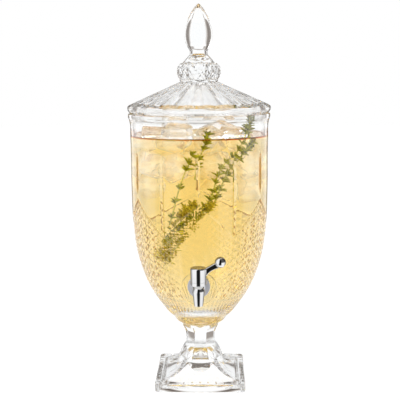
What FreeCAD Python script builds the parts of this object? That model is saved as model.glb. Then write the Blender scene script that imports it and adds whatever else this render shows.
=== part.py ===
# Glass beverage dispenser: a cut-glass bowl on a square pedestal foot, a fluted glass lid with a
# bud finial, and a chromed tap whose quarter-turn plug is worked by a ball-ended lever.
# Units are millimetres. +Z is up, the tap faces -Y, and the origin is the centre of the foot's base.
import FreeCAD, Part
import math
import os

from FreeCAD import Vector

os.makedirs("parts", exist_ok=True)

X_AXIS = Vector(1, 0, 0)
Y_AXIS = Vector(0, 1, 0)
Z_AXIS = Vector(0, 0, 1)
ORIGIN = Vector(0, 0, 0)

# How far a cutter runs past the face that it cuts, and how near an edge lies to a plane to be in it
PAST = 1.0
NEAR = 0.1

# Square plinth and the pyramid that rises from its border
PLINTH_SIDE = 125.0
PLINTH_THICK = 13.0
PLINTH_CORNER = 6.0
PLINTH_EDGE = 2.5
BORDER_WIDTH = 8.0
COLLAR_RADIUS = 30.3
COLLAR_LOW = 32.0
COLLAR_HIGH = 36.0
WEB_RADIUS = 36.3
PYRAMID_TOP_HALF = 21.4
PYRAMID_SAG = 5.0

# Hollow that the press leaves under the foot: four level-sided walls, rounded off by a turned dome,
# both given as (distance from axis, height) and read upwards
HOLLOW_EDGE = [(56.0, -PAST), (55.0, 5.0)]
HOLLOW_WALL = [HOLLOW_EDGE[-1], (50.5, 8.2), (32.1, 14.5), (17.5, 31.0), (14.5, 45.0)]
HOLLOW_DOME = [(90.0, -PAST), (66.0, 9.0), (44.0, 16.0), (25.5, 29.0), (17.5, 38.0), (9.5, 43.0), (0.0, 44.5)]

# Eight-sided stem, given as (distance from axis to panel, height)
STEM_SIDES = 8
STEM_CLEAR = 40.0
JOIN_RADIUS = 27.5
JOIN_HEIGHT = 84.0
STEM_FLARE = [(29.4, COLLAR_HIGH), (26.2, 42.4), (23.6, 47.0)]
STEM_WAIST = [(20.9, 50.5), (20.1, 64.0), (20.9, 72.0), (24.0, 79.0), (JOIN_RADIUS, JOIN_HEIGHT)]

# Bowl: outer and inner outlines as (radius, height), read downwards
LIP_TOP = 379.3
LIP_RADIUS = 97.6
LIP_DROP = 8.5
LIP_EDGE = 1.2
LIP_STEP = 4.0
BOWL_MOUTH_RADIUS = 91.4
BOWL_OUTER = [(96.2, 370.8), (94.9, 345.0), (94.5, 279.0), (92.9, 228.0), (88.3, 189.0),
              (79.7, 158.5), (70.3, 136.6), (56.1, 114.6), (45.9, 101.5), (36.8, 92.4)]
BEAD_RADIUS = 34.4
BEAD_HEIGHT = 88.6
BOWL_INNER = [(BOWL_MOUTH_RADIUS, LIP_TOP), (89.5, 340.0), (89.0, 279.0), (87.3, 230.0),
              (82.7, 192.5), (74.3, 163.0), (64.6, 141.5), (50.4, 122.5), (32.0, 112.6), (8.0, 109.2),
              (0.0, 109.0)]
STEEP_DOWN = (-0.05, -1.0)
LEVEL_INWARDS = (-1.0, 0.0)

# Tap boss: a round pad with an upright face on the bowl's front, and a level seat inside it
BOSS_RADIUS = 23.5
BOSS_HEIGHT = 152.5
BOSS_FACE = -84.0
BOSS_EDGE = 2.0
BOSS_DEPTH = 30.0
SEAT_RADIUS = 15.0
SEAT_FACE = -72.0
SEAT_DEPTH = 25.0
HOLE_RADIUS = 8.25

# Tap stack along the shank, counted from the glass outwards and inwards
SHANK_HEIGHT = 156.5
SHANK_RADIUS = 8.0
SHANK_BORE = 4.0
SHANK_END = -57.5
SHANK_EDGE = 0.8
GASKET_THICK = 2.0
GASKET_RADIUS = 13.6
ESCUTCHEON_RADIUS = 14.9
ESCUTCHEON_THICK = 2.0
ESCUTCHEON_EDGE = 0.8
WASHER_THICK = 1.2
WASHER_RADIUS = 12.6
NUT_THICK = 6.0
NUT_FLATS = 22.0
NUT_CHAMFER = 1.2
THREAD_PITCH = 1.5
THREAD_DEPTH = 0.5
THREAD_HALF_OPENING = 0.6

# Valve barrel and spout
TAP_Y = -100.0
NECK_RADIUS = 7.0
HEAD_RADIUS = 8.05
HEAD_HEIGHT = 153.2
SPOUT_TIP = 134.5
SPOUT_TIP_RADIUS = 5.9
SPOUT_BORE = 4.0
BARREL_LOW = 161.3
BARREL_SEAM = 166.6
BARREL_RADIUS = 10.3
BARREL_EDGE = 1.8
CHAMBER_FLOOR = 150.5
CHAMBER_RADIUS = 6.0
GUIDE_RADIUS = 8.0
GUIDE_TOP = 176.0

# Rotating plug and its seals
RUNNING_GAP = 0.05
PLUG_RADIUS = CHAMBER_RADIUS - RUNNING_GAP
PLUG_END_GAP = 0.2
PLUG_FLOOR = CHAMBER_FLOOR + PLUG_END_GAP
PLUG_PORT = 3.6
PLUG_PORT_TOP = 160.1
RING_HEIGHTS = (164.5, 169.5)
RING_SECTION = 0.9
THRUST_THICK = 0.6
THRUST_RADIUS = 7.2
FLANGE_RADIUS = 7.0
FLANGE_THICK = 1.6
STEM_FLATS = 6.0
TAPPED_DEPTH = 9.0

# Bonnet nut that holds the plug down, and the stop pin
BONNET_RADIUS = 9.2
BONNET_LOW = 171.0
BONNET_LIP = 1.1
BONNET_HOLE = 4.6
BONNET_GAP = 0.1
BONNET_CHAMFER = 0.6
PIN_RADIUS = 0.7
PIN_CIRCLE = 8.75
PIN_TOP = 170.0
PIN_ROOT = 2.5
PIN_ANGLE = 225.0
TURN_RANGE = 90.0
STOP_MARGIN = 1.0

# Lever: hood, arm and ball. At rest the arm points along +X and the tap is shut
HOOD_GAP = 0.2
HOOD_LOW = BARREL_SEAM + HOOD_GAP
HOOD_TOP = 185.2
HOOD_LOW_RADIUS = 10.35
HOOD_TOP_RADIUS = 10.9
HOOD_EDGE = 1.9
HOOD_CAVITY = 9.5
DECK_LOW = 180.8
SCREW_SEAT = 182.6
SCREW_HEAD_RADIUS = 4.6
SCREW_HEAD_THICK = 1.2
SCREW_RADIUS = 1.5
SCREW_LENGTH = 9.0
SCREW_HEAD_GAP = 0.3
SLOT_WIDTH = 1.0
SLOT_DEPTH = 0.6
COVER_RADIUS = 8.9
COVER_THICK = 1.0
COVER_CHAMFER = 0.15
RIB_LOW = 167.2
RIB_INNER = 8.35
BALL_RADIUS = 7.2
BALL_REACH = 28.3
BALL_HEIGHT = 192.2
ARM_DEPTH = 7.0
ARM_ROOT_TOP = (9.0, 184.4)
ARM_ROOT_LOW = (9.0, 172.2)
ARM_CURVE = (15.4, 180.0)
ARM_TIP_LOW = (25.6, 184.6)
ARM_TIP_TOP = (21.6, 191.6)
ARM_EDGE = 1.2

# Lid: fluted cone with a rounded rim that rests on the bowl's lip, and a ring that centres it
LID_CONE_TOP = (27.0, 421.6)
LID_CONE_LOW = (95.4, 391.2)
LID_RIM_RADIUS = 98.4
LID_RIM_HEIGHT = 386.6
LID_SEAT_RADIUS = 94.6
LID_RING_OUTER = 89.6
LID_RING_INNER = 85.0
LID_RING_LOW = 371.5
LID_WALL = 6.0
LID_CROWN_RADIUS = 20.0
LID_CROWN_EXTRA = 3.0
DIMPLE_RADIUS = 8.0
DIMPLE_FLOOR = 4.0
DIMPLE_DEPTH = 3.0

# Knop and bud finial, as (radius, height)
KNOP_OUTLINE = [(26.3, 424.0), (28.6, 428.6), (30.3, 436.0), (29.4, 441.6), (26.0, 446.0)]
SHOULDER = [(21.8, 447.6), (18.4, 451.8), (14.4, 456.2)]
NECK_RING_LOW = (13.1, 457.4)
GLASS_NECK_RADIUS = 12.0
GLASS_NECK_SPAN = (459.6, 463.4)
NECK_RING_HIGH = (13.1, 465.6)
BUD_OUTLINE = [(13.1, 465.6), (16.9, 472.0), (18.8, 481.5), (18.7, 489.0), (16.2, 500.0),
               (11.6, 512.0), (6.3, 520.5), (1.6, 525.8)]
BUD_TIP = (0.0, 526.5)


def at(radius, height):
    """A point of an outline in the XZ half plane."""
    return Vector(radius, 0, height)


def line(start, end):
    """A straight piece of an outline."""
    return Part.LineSegment(at(*start), at(*end)).toShape()


def arc(start, middle, end):
    """A round piece of an outline, through its middle point."""
    return Part.Arc(at(*start), at(*middle), at(*end)).toShape()


def curve(points, start_slope=None, end_slope=None):
    """A smooth curve through the points, with end directions where they are given."""
    spline = Part.BSplineCurve()
    places = [at(*point) for point in points]
    if start_slope is None:
        spline.interpolate(places)
    else:
        spline.interpolate(Points=places, InitialTangent=at(*start_slope), FinalTangent=at(*end_slope))
    return spline.toShape()


def turned(edges):
    """The solid made by turning a closed outline round the Z axis."""
    face = Part.Face(Part.Wire(edges))
    return face.revolve(ORIGIN, Z_AXIS, 360)


def upright(radius, low, high, x=0.0, y=0.0):
    """A cylinder on a vertical axis."""
    return Part.makeCylinder(radius, high - low, Vector(x, y, low), Z_AXIS)


def along_shank(radius, start, end, height=SHANK_HEIGHT):
    """A cylinder on a level axis, from the nearer face to the one further back."""
    return Part.makeCylinder(radius, end - start, Vector(0, start, height), Y_AXIS)


def hexagon(flats, start, end):
    """A hexagonal bar round the shank's axis."""
    corner = flats / math.sqrt(3.0)
    points = []
    for step in range(7):
        angle = math.radians(60.0 * step)
        points.append(Vector(corner * math.cos(angle), start, SHANK_HEIGHT + corner * math.sin(angle)))
    return Part.Face(Part.makePolygon(points)).extrude(Vector(0, end - start, 0))


def panelled(edges, sides, half_width):
    """The solid with flat-sided sections whose panels follow one outline all the way round."""
    face = Part.Face(Part.Wire(edges))
    solid = None
    for index in range(sides // 2):
        slab = face.copy()
        slab.translate(Vector(0, -half_width, 0))
        slab = slab.extrude(Vector(0, 2.0 * half_width, 0))
        slab.rotate(ORIGIN, Z_AXIS, index * 360.0 / sides)
        solid = slab if solid is None else solid.common(slab)
    return solid


def mirrored_outline(half):
    """Close a right-hand outline, given from bottom to top, with its mirror image."""
    right = Part.Wire(half)
    left = right.mirror(ORIGIN, X_AXIS)
    start, end = right.OrderedVertexes[0].Point, right.OrderedVertexes[-1].Point
    bottom = Part.LineSegment(Vector(-start.x, 0, start.z), start).toShape()
    top = Part.LineSegment(end, Vector(-end.x, 0, end.z)).toShape()
    return [bottom] + right.Edges + [top] + left.Edges


def rounded(solid, radius, picked):
    """Fillet the edges that the test picks out."""
    edges = [edge for edge in solid.Edges if picked(edge)]
    return solid.makeFillet(radius, edges)


def save(name, solid):
    """Write the node's STEP file and print its volume and box."""
    solid = solid.removeSplitter()
    if len(solid.Solids) == 1:
        solid = solid.Solids[0]
    box = solid.optimalBoundingBox(False)
    solid.exportStep("parts/%s.step" % name)
    print("%-16s %3d solids  valid %s  volume %9.1f  x %7.2f %7.2f  y %7.2f %7.2f  z %7.2f %7.2f"
          % (name, len(solid.Solids), solid.isValid(), solid.Volume,
             box.XMin, box.XMax, box.YMin, box.YMax, box.ZMin, box.ZMax))


def pedestal_foot():
    """Square plinth, hollow-sided pyramid, collar and eight-panel stem, pressed as one hollow piece."""
    half = PLINTH_SIDE / 2.0
    plinth = Part.makeBox(PLINTH_SIDE, PLINTH_SIDE, PLINTH_THICK, Vector(-half, -half, 0))
    plinth = rounded(plinth, PLINTH_CORNER, lambda edge: edge.BoundBox.ZLength > NEAR)
    plinth = rounded(plinth, PLINTH_EDGE, lambda edge: edge.BoundBox.ZLength < NEAR)
    inner = half - BORDER_WIDTH
    middle = ((inner + PYRAMID_TOP_HALF) / 2.0 - PYRAMID_SAG / 2.0,
              (PLINTH_THICK + COLLAR_HIGH) / 2.0 - PYRAMID_SAG)
    side = [line((inner, PLINTH_THICK - PAST), (inner, PLINTH_THICK)),
            arc((inner, PLINTH_THICK), middle, (PYRAMID_TOP_HALF, COLLAR_HIGH))]
    pyramid = panelled(mirrored_outline(side), 4, half)
    collar = upright(COLLAR_RADIUS, COLLAR_LOW, COLLAR_HIGH)
    web_height = COLLAR_LOW - PLINTH_THICK
    web = Part.makeCone(WEB_RADIUS, COLLAR_RADIUS, web_height, Vector(0, 0, PLINTH_THICK))
    panels = [curve(STEM_FLARE), line(STEM_FLARE[-1], STEM_WAIST[0]), curve(STEM_WAIST)]
    stem = panelled(mirrored_outline(panels), STEM_SIDES, STEM_CLEAR)
    walls = panelled(mirrored_outline([line(*HOLLOW_EDGE), curve(HOLLOW_WALL)]), 4, half)
    start, end = HOLLOW_DOME[0], HOLLOW_DOME[-1]
    dome = turned([curve(HOLLOW_DOME), line(end, (0, start[1])), line((0, start[1]), start)])
    return plinth.fuse([pyramid, web, collar, stem]).cut(walls.common(dome))


def glass_bowl():
    """Deep round-bottomed bowl with a thickened lip, a bead under it and the bored tap boss."""
    lip_face_low = LIP_TOP - LIP_DROP + LIP_STEP
    edge_bulge = LIP_EDGE * (1.0 - math.sqrt(0.5))
    outer_low = BOWL_OUTER[-1]
    outside = [line((0, LIP_TOP), (LIP_RADIUS - LIP_EDGE, LIP_TOP)),
               arc((LIP_RADIUS - LIP_EDGE, LIP_TOP), (LIP_RADIUS - edge_bulge, LIP_TOP - edge_bulge),
                   (LIP_RADIUS, LIP_TOP - LIP_EDGE)),
               line((LIP_RADIUS, LIP_TOP - LIP_EDGE), (LIP_RADIUS, lip_face_low)),
               line((LIP_RADIUS, lip_face_low), BOWL_OUTER[0]),
               curve(BOWL_OUTER),
               arc(outer_low, (BEAD_RADIUS, BEAD_HEIGHT), (JOIN_RADIUS, JOIN_HEIGHT)),
               line((JOIN_RADIUS, JOIN_HEIGHT), (0, JOIN_HEIGHT)),
               line((0, JOIN_HEIGHT), (0, LIP_TOP))]
    solid = turned(outside)
    boss = along_shank(BOSS_RADIUS, BOSS_FACE, BOSS_FACE + BOSS_DEPTH, BOSS_HEIGHT)
    boss = rounded(boss, BOSS_EDGE, lambda edge: edge.BoundBox.YMax < BOSS_FACE + NEAR)
    inner_end = BOWL_INNER[-1]
    inside = [curve(BOWL_INNER, STEEP_DOWN, LEVEL_INWARDS),
              line(inner_end, (0, LIP_TOP + PAST)),
              line((0, LIP_TOP + PAST), (BOWL_MOUTH_RADIUS, LIP_TOP + PAST)),
              line((BOWL_MOUTH_RADIUS, LIP_TOP + PAST), BOWL_INNER[0])]
    cavity = turned(inside)
    fill = along_shank(SEAT_RADIUS, BOSS_FACE, SEAT_FACE)
    pocket = along_shank(SEAT_RADIUS, SEAT_FACE, SEAT_FACE + SEAT_DEPTH)
    hole = along_shank(HOLE_RADIUS, BOSS_FACE - PAST, SEAT_FACE + PAST)
    return solid.fuse(boss).cut(cavity.cut(fill)).cut(pocket).cut(hole)


def thread_grooves(radius, start, end):
    """The V grooves of a simplified thread, as closed rings at the thread's pitch."""
    rings = []
    count = int((end - start) / THREAD_PITCH)
    for index in range(count):
        y = start + THREAD_PITCH * (index + 0.5)
        top = SHANK_HEIGHT + radius + NEAR
        points = [Vector(0, y - THREAD_HALF_OPENING, top),
                  Vector(0, y + THREAD_HALF_OPENING, top),
                  Vector(0, y, SHANK_HEIGHT + radius - THREAD_DEPTH),
                  Vector(0, y - THREAD_HALF_OPENING, top)]
        face = Part.Face(Part.makePolygon(points))
        rings.append(face.revolve(Vector(0, 0, SHANK_HEIGHT), Y_AXIS, 360))
    return rings


def tap_body():
    """Threaded shank, valve barrel and tapered spout, cast as one piece and bored through."""
    escutcheon_front = BOSS_FACE - GASKET_THICK - ESCUTCHEON_THICK
    shank = along_shank(SHANK_RADIUS, escutcheon_front, SHANK_END)
    shank = rounded(shank, SHANK_EDGE, lambda edge: edge.BoundBox.YMin > SHANK_END - NEAR)
    nut_end = SEAT_FACE + GASKET_THICK + WASHER_THICK + NUT_THICK
    shank = shank.cut(thread_grooves(SHANK_RADIUS, nut_end, SHANK_END - THREAD_PITCH))
    neck = along_shank(NECK_RADIUS, TAP_Y, escutcheon_front)
    head = Part.makeSphere(HEAD_RADIUS, Vector(0, TAP_Y, HEAD_HEIGHT))
    spout_height = HEAD_HEIGHT - SPOUT_TIP
    spout = Part.makeCone(SPOUT_TIP_RADIUS, HEAD_RADIUS, spout_height, Vector(0, TAP_Y, SPOUT_TIP))
    barrel = upright(BARREL_RADIUS, BARREL_LOW, BARREL_SEAM, y=TAP_Y)
    barrel = rounded(barrel, BARREL_EDGE, lambda edge: edge.BoundBox.ZMax < BARREL_LOW + NEAR)
    guide = upright(GUIDE_RADIUS, BARREL_SEAM, GUIDE_TOP, y=TAP_Y)
    body = shank.fuse([neck, head, spout, barrel, guide])
    chamber = upright(CHAMBER_RADIUS, CHAMBER_FLOOR, GUIDE_TOP + PAST, y=TAP_Y)
    outlet = upright(SPOUT_BORE, SPOUT_TIP - PAST, CHAMBER_FLOOR + PAST, y=TAP_Y)
    inlet = along_shank(SHANK_BORE, TAP_Y, SHANK_END + PAST)
    pin_hole = stop_pin()
    return body.cut([chamber, outlet, inlet, pin_hole])


def stop_pin():
    """Pin pressed into the barrel's shoulder that ends the lever's turn."""
    angle = math.radians(PIN_ANGLE)
    x = PIN_CIRCLE * math.cos(angle)
    y = TAP_Y + PIN_CIRCLE * math.sin(angle)
    return upright(PIN_RADIUS, BARREL_SEAM - PIN_ROOT, PIN_TOP, x, y)


def escutcheon():
    """Flat round cover plate between the outer gasket and the tap."""
    front = BOSS_FACE - GASKET_THICK - ESCUTCHEON_THICK
    plate = along_shank(ESCUTCHEON_RADIUS, front, BOSS_FACE - GASKET_THICK)
    plate = rounded(plate, ESCUTCHEON_EDGE, lambda edge: edge.BoundBox.YMax < front + NEAR)
    return plate.cut(along_shank(SHANK_RADIUS, front - PAST, BOSS_FACE))


def shank_ring(radius, start, thick):
    """A flat ring threaded on to the shank."""
    ring = along_shank(radius, start, start + thick)
    return ring.cut(along_shank(SHANK_RADIUS, start - PAST, start + thick + PAST))


def outer_gasket():
    """Soft ring between the escutcheon and the boss."""
    return shank_ring(GASKET_RADIUS, BOSS_FACE - GASKET_THICK, GASKET_THICK)


def inner_gasket():
    """Soft ring that seals the hole from inside the bowl."""
    return shank_ring(GASKET_RADIUS, SEAT_FACE, GASKET_THICK)


def nut_washer():
    """Steel ring that keeps the nut off the inner gasket."""
    return shank_ring(WASHER_RADIUS, SEAT_FACE + GASKET_THICK, WASHER_THICK)


def shank_nut():
    """Hexagon nut with turned-down corners that clamps the tap to the glass."""
    start = SEAT_FACE + GASKET_THICK + WASHER_THICK
    end = start + NUT_THICK
    bar = hexagon(NUT_FLATS, start, end)
    corner = NUT_FLATS / math.sqrt(3.0)
    blank = along_shank(corner, start, end)
    blank = blank.makeChamfer(NUT_CHAMFER, [edge for edge in blank.Edges if edge.BoundBox.YMin > end - NEAR])
    return bar.common(blank).cut(along_shank(SHANK_RADIUS, start - PAST, end + PAST))


def thrust_washer():
    """Low-friction ring that the plug's flange turns on."""
    top = GUIDE_TOP + THRUST_THICK
    ring = upright(THRUST_RADIUS, GUIDE_TOP, top, y=TAP_Y)
    return ring.cut(upright(CHAMBER_RADIUS, GUIDE_TOP - PAST, top + PAST, y=TAP_Y))


def bonnet_nut():
    """Cap nut screwed on the barrel's guide, whose lip keeps the plug's flange down."""
    flange_top = GUIDE_TOP + THRUST_THICK + FLANGE_THICK
    lip_low = flange_top + BONNET_GAP
    top = lip_low + BONNET_LIP
    nut = upright(BONNET_RADIUS, BONNET_LOW, top, y=TAP_Y)
    nut = nut.makeChamfer(BONNET_CHAMFER, [edge for edge in nut.Edges if edge.BoundBox.ZMin > top - NEAR])
    nut = nut.cut(upright(GUIDE_RADIUS, BONNET_LOW - PAST, lip_low, y=TAP_Y))
    return nut.cut(upright(BONNET_HOLE, lip_low - PAST, top + PAST, y=TAP_Y))


def square_stem(low, high):
    """The square that carries the lever, between two heights."""
    half = STEM_FLATS / 2.0
    return Part.makeBox(STEM_FLATS, STEM_FLATS, high - low, Vector(-half, TAP_Y - half, low))


def valve_plug():
    """Turning plug: a side port, turned away from the shank at rest, opens into a hollow foot."""
    flange_low = GUIDE_TOP + THRUST_THICK
    flange_top = flange_low + FLANGE_THICK
    plug = upright(PLUG_RADIUS, PLUG_FLOOR, flange_low, y=TAP_Y)
    flange = upright(FLANGE_RADIUS, flange_low, flange_top, y=TAP_Y)
    plug = plug.fuse([flange, square_stem(flange_top, SCREW_SEAT)])
    foot_bore = upright(PLUG_PORT, PLUG_FLOOR - PAST, PLUG_PORT_TOP, y=TAP_Y)
    port = Part.makeCylinder(PLUG_PORT, PLUG_RADIUS + PAST, Vector(0, TAP_Y, SHANK_HEIGHT), -X_AXIS)
    tapped = upright(SCREW_RADIUS, SCREW_SEAT - TAPPED_DEPTH, SCREW_SEAT + PAST, y=TAP_Y)
    grooves = []
    for height in RING_HEIGHTS:
        low, high = height - RING_SECTION, height + RING_SECTION
        outer = upright(PLUG_RADIUS + PAST, low, high, y=TAP_Y)
        core = upright(PLUG_RADIUS - 2.0 * RING_SECTION, low - PAST, high + PAST, y=TAP_Y)
        grooves.append(outer.cut(core))
    return plug.cut([foot_bore, port, tapped] + grooves)


def plug_o_rings():
    """The two rubber rings in the plug's grooves."""
    rings = []
    for height in RING_HEIGHTS:
        centre = Vector(0, TAP_Y, height)
        rings.append(Part.makeTorus(PLUG_RADIUS - RING_SECTION, RING_SECTION, centre, Z_AXIS))
    return Part.makeCompound(rings)


def hood_shape():
    """The hood's outside, without its hollow."""
    base = Vector(0, TAP_Y, HOOD_LOW)
    hood = Part.makeCone(HOOD_LOW_RADIUS, HOOD_TOP_RADIUS, HOOD_TOP - HOOD_LOW, base)
    return rounded(hood, HOOD_EDGE, lambda edge: edge.BoundBox.ZMin > HOOD_TOP - NEAR)


def lever_hood():
    """Cylindrical hood that turns on the barrel, with the stop rib round its inside."""
    hood = hood_shape()
    hood = hood.cut(upright(HOOD_CAVITY, HOOD_LOW - PAST, DECK_LOW, y=TAP_Y))
    hood = hood.cut(square_stem(DECK_LOW - PAST, SCREW_SEAT))
    hood = hood.cut(upright(SCREW_HEAD_RADIUS, SCREW_SEAT, HOOD_TOP, y=TAP_Y))
    hood = hood.cut(upright(COVER_RADIUS, HOOD_TOP - COVER_THICK, HOOD_TOP + PAST, y=TAP_Y))
    pin_half = math.degrees(math.asin(PIN_RADIUS / PIN_CIRCLE))
    margin = pin_half + STOP_MARGIN
    # The lever turns clockwise seen from above, so the free arc lies anticlockwise of the pin
    rib_start = PIN_ANGLE + TURN_RANGE + margin
    rib_span = 360.0 - TURN_RANGE - 2.0 * margin
    outer = Part.makeCylinder(HOOD_CAVITY, PIN_TOP - RIB_LOW, ORIGIN, Z_AXIS, rib_span)
    rib = outer.cut(upright(RIB_INNER, -PAST, PIN_TOP - RIB_LOW + PAST))
    rib.rotate(ORIGIN, Z_AXIS, rib_start)
    rib.translate(Vector(0, TAP_Y, RIB_LOW))
    return hood.fuse(rib)


def lever_ball():
    """Round knob at the arm's end."""
    return Part.makeSphere(BALL_RADIUS, Vector(BALL_REACH, TAP_Y, BALL_HEIGHT))


def lever_arm():
    """Flat arm that rises from the hood to the ball, hollowed along its lower edge."""
    def place(point):
        return Vector(point[0], TAP_Y - ARM_DEPTH / 2.0, point[1])

    edges = [Part.LineSegment(place(ARM_ROOT_TOP), place(ARM_TIP_TOP)).toShape(),
             Part.LineSegment(place(ARM_TIP_TOP), place(ARM_TIP_LOW)).toShape(),
             Part.Arc(place(ARM_TIP_LOW), place(ARM_CURVE), place(ARM_ROOT_LOW)).toShape(),
             Part.LineSegment(place(ARM_ROOT_LOW), place(ARM_ROOT_TOP)).toShape()]
    arm = Part.Face(Part.Wire(edges)).extrude(Vector(0, ARM_DEPTH, 0))
    reach = ARM_TIP_TOP[0] - ARM_ROOT_TOP[0]
    arm = rounded(arm, ARM_EDGE,
                  lambda edge: edge.BoundBox.YLength < NEAR and edge.BoundBox.XLength > reach - NEAR)
    return arm.cut(hood_shape()).cut(lever_ball())


def cap_screw():
    """Pan-head screw that draws the hood on to the plug's square."""
    head_top = SCREW_SEAT + SCREW_HEAD_THICK
    head = upright(SCREW_HEAD_RADIUS - SCREW_HEAD_GAP, SCREW_SEAT, head_top, y=TAP_Y)
    shaft = upright(SCREW_RADIUS, SCREW_SEAT - SCREW_LENGTH, SCREW_SEAT, y=TAP_Y)
    corner = Vector(-SLOT_WIDTH / 2.0, TAP_Y - SCREW_HEAD_RADIUS, head_top - SLOT_DEPTH)
    slot = Part.makeBox(SLOT_WIDTH, 2.0 * SCREW_HEAD_RADIUS, SLOT_DEPTH + PAST, corner)
    return head.fuse(shaft).cut(slot)


def cover_disc():
    """Thin disc that hides the cap screw."""
    disc = upright(COVER_RADIUS, HOOD_TOP - COVER_THICK, HOOD_TOP, y=TAP_Y)
    upper = [edge for edge in disc.Edges if edge.BoundBox.ZMin > HOOD_TOP - NEAR]
    return disc.makeChamfer(COVER_CHAMFER, upper)


def lid_cover():
    """Conical lid with a rounded rim, a seat on the bowl's lip and a centring ring."""
    slope = (LID_CONE_TOP[1] - LID_CONE_LOW[1]) / (LID_CONE_LOW[0] - LID_CONE_TOP[0])

    def under_cone(radius, wall):
        return radius, LID_CONE_LOW[1] + slope * (LID_CONE_LOW[0] - radius) - wall

    inner_low = under_cone(LID_RING_INNER, LID_WALL)
    crown = under_cone(LID_CROWN_RADIUS, LID_WALL + LID_CROWN_EXTRA)
    rim_low = (LID_SEAT_RADIUS, LIP_TOP)
    outline = [line((0, LID_CONE_TOP[1]), LID_CONE_TOP),
               line(LID_CONE_TOP, LID_CONE_LOW),
               arc(LID_CONE_LOW, (LID_RIM_RADIUS, LID_RIM_HEIGHT), rim_low),
               line(rim_low, (LID_RING_OUTER, LIP_TOP)),
               line((LID_RING_OUTER, LIP_TOP), (LID_RING_OUTER, LID_RING_LOW)),
               line((LID_RING_OUTER, LID_RING_LOW), (LID_RING_INNER, LID_RING_LOW)),
               line((LID_RING_INNER, LID_RING_LOW), inner_low),
               line(inner_low, crown),
               line(crown, (DIMPLE_RADIUS, crown[1])),
               line((DIMPLE_RADIUS, crown[1]), (DIMPLE_FLOOR, crown[1] + DIMPLE_DEPTH)),
               line((DIMPLE_FLOOR, crown[1] + DIMPLE_DEPTH), (0, crown[1] + DIMPLE_DEPTH)),
               line((0, crown[1] + DIMPLE_DEPTH), (0, LID_CONE_TOP[1]))]
    return turned(outline)


def lid_finial():
    """Knop, flared shoulder, ringed neck and pointed bud in solid glass."""
    neck_low = (GLASS_NECK_RADIUS, GLASS_NECK_SPAN[0])
    neck_high = (GLASS_NECK_RADIUS, GLASS_NECK_SPAN[1])
    knop_foot = (KNOP_OUTLINE[0][0], LID_CONE_TOP[1])
    outline = [line((0, LID_CONE_TOP[1]), knop_foot),
               line(knop_foot, KNOP_OUTLINE[0]),
               curve(KNOP_OUTLINE),
               line(KNOP_OUTLINE[-1], SHOULDER[0]),
               curve(SHOULDER),
               line(SHOULDER[-1], NECK_RING_LOW),
               line(NECK_RING_LOW, neck_low),
               line(neck_low, neck_high),
               line(neck_high, NECK_RING_HIGH),
               curve(BUD_OUTLINE),
               line(BUD_OUTLINE[-1], BUD_TIP),
               line(BUD_TIP, (0, LID_CONE_TOP[1]))]
    return turned(outline)


PIECES = [pedestal_foot, glass_bowl, tap_body, stop_pin, escutcheon, outer_gasket, inner_gasket,
          nut_washer, shank_nut, thrust_washer, bonnet_nut, valve_plug, plug_o_rings, lever_hood,
          lever_arm, lever_ball, cap_screw, cover_disc, lid_cover, lid_finial]

for piece in PIECES:
    save(piece.__name__, piece())
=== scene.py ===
# Glass beverage dispenser: a cut-glass bowl of iced drink with thyme, on a pressed square foot,
# under a fluted lid with a bud finial, with a chromed lever tap. Lengths are metres, and +Z is up.
import bisect
import math
import random

import bmesh
import bpy
from bpy.props import FloatProperty, FloatVectorProperty, PointerProperty
from mathutils import Matrix, Vector, geometry, noise


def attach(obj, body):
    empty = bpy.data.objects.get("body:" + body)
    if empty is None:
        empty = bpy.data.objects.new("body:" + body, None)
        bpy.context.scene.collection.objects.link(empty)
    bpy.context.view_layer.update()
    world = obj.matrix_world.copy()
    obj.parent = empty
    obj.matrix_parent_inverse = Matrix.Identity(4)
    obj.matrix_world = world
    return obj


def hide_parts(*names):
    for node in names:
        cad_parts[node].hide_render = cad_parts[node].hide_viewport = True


bl_info = {
    "name": "Glass Beverage Dispenser",
    "version": (1, 0, 0),
    "blender": (4, 5, 0),
    "location": "3D View > Sidebar > Dispenser",
    "description": "Dresses the dispenser's frame with cut glass, drink, ice, herbs and metal",
    "category": "Object",
}

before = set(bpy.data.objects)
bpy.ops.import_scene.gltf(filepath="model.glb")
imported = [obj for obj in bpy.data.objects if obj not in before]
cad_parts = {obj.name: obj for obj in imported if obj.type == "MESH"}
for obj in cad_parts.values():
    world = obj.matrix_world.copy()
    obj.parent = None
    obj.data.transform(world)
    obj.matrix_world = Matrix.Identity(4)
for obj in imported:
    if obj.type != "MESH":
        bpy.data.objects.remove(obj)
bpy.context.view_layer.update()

MM = 0.001
FULL_TURN = 2.0 * math.pi

# Camera, as the photograph was taken: distance along the view and the point that it looks at
PHOTO_SIZE = 400
LENS = 72.0
SENSOR = 36.0
VIEW_DISTANCE = 1.120
VIEW_PITCH = math.radians(8.7)
VIEW_TURN = math.radians(1.3)
VIEW_ROLL = math.radians(-0.4)
VIEW_HEIGHT = 0.2575
VIEW_OFFSET = (0.3, 0.5)
VIEW_CLIP = (0.05, 50.0)

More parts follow.
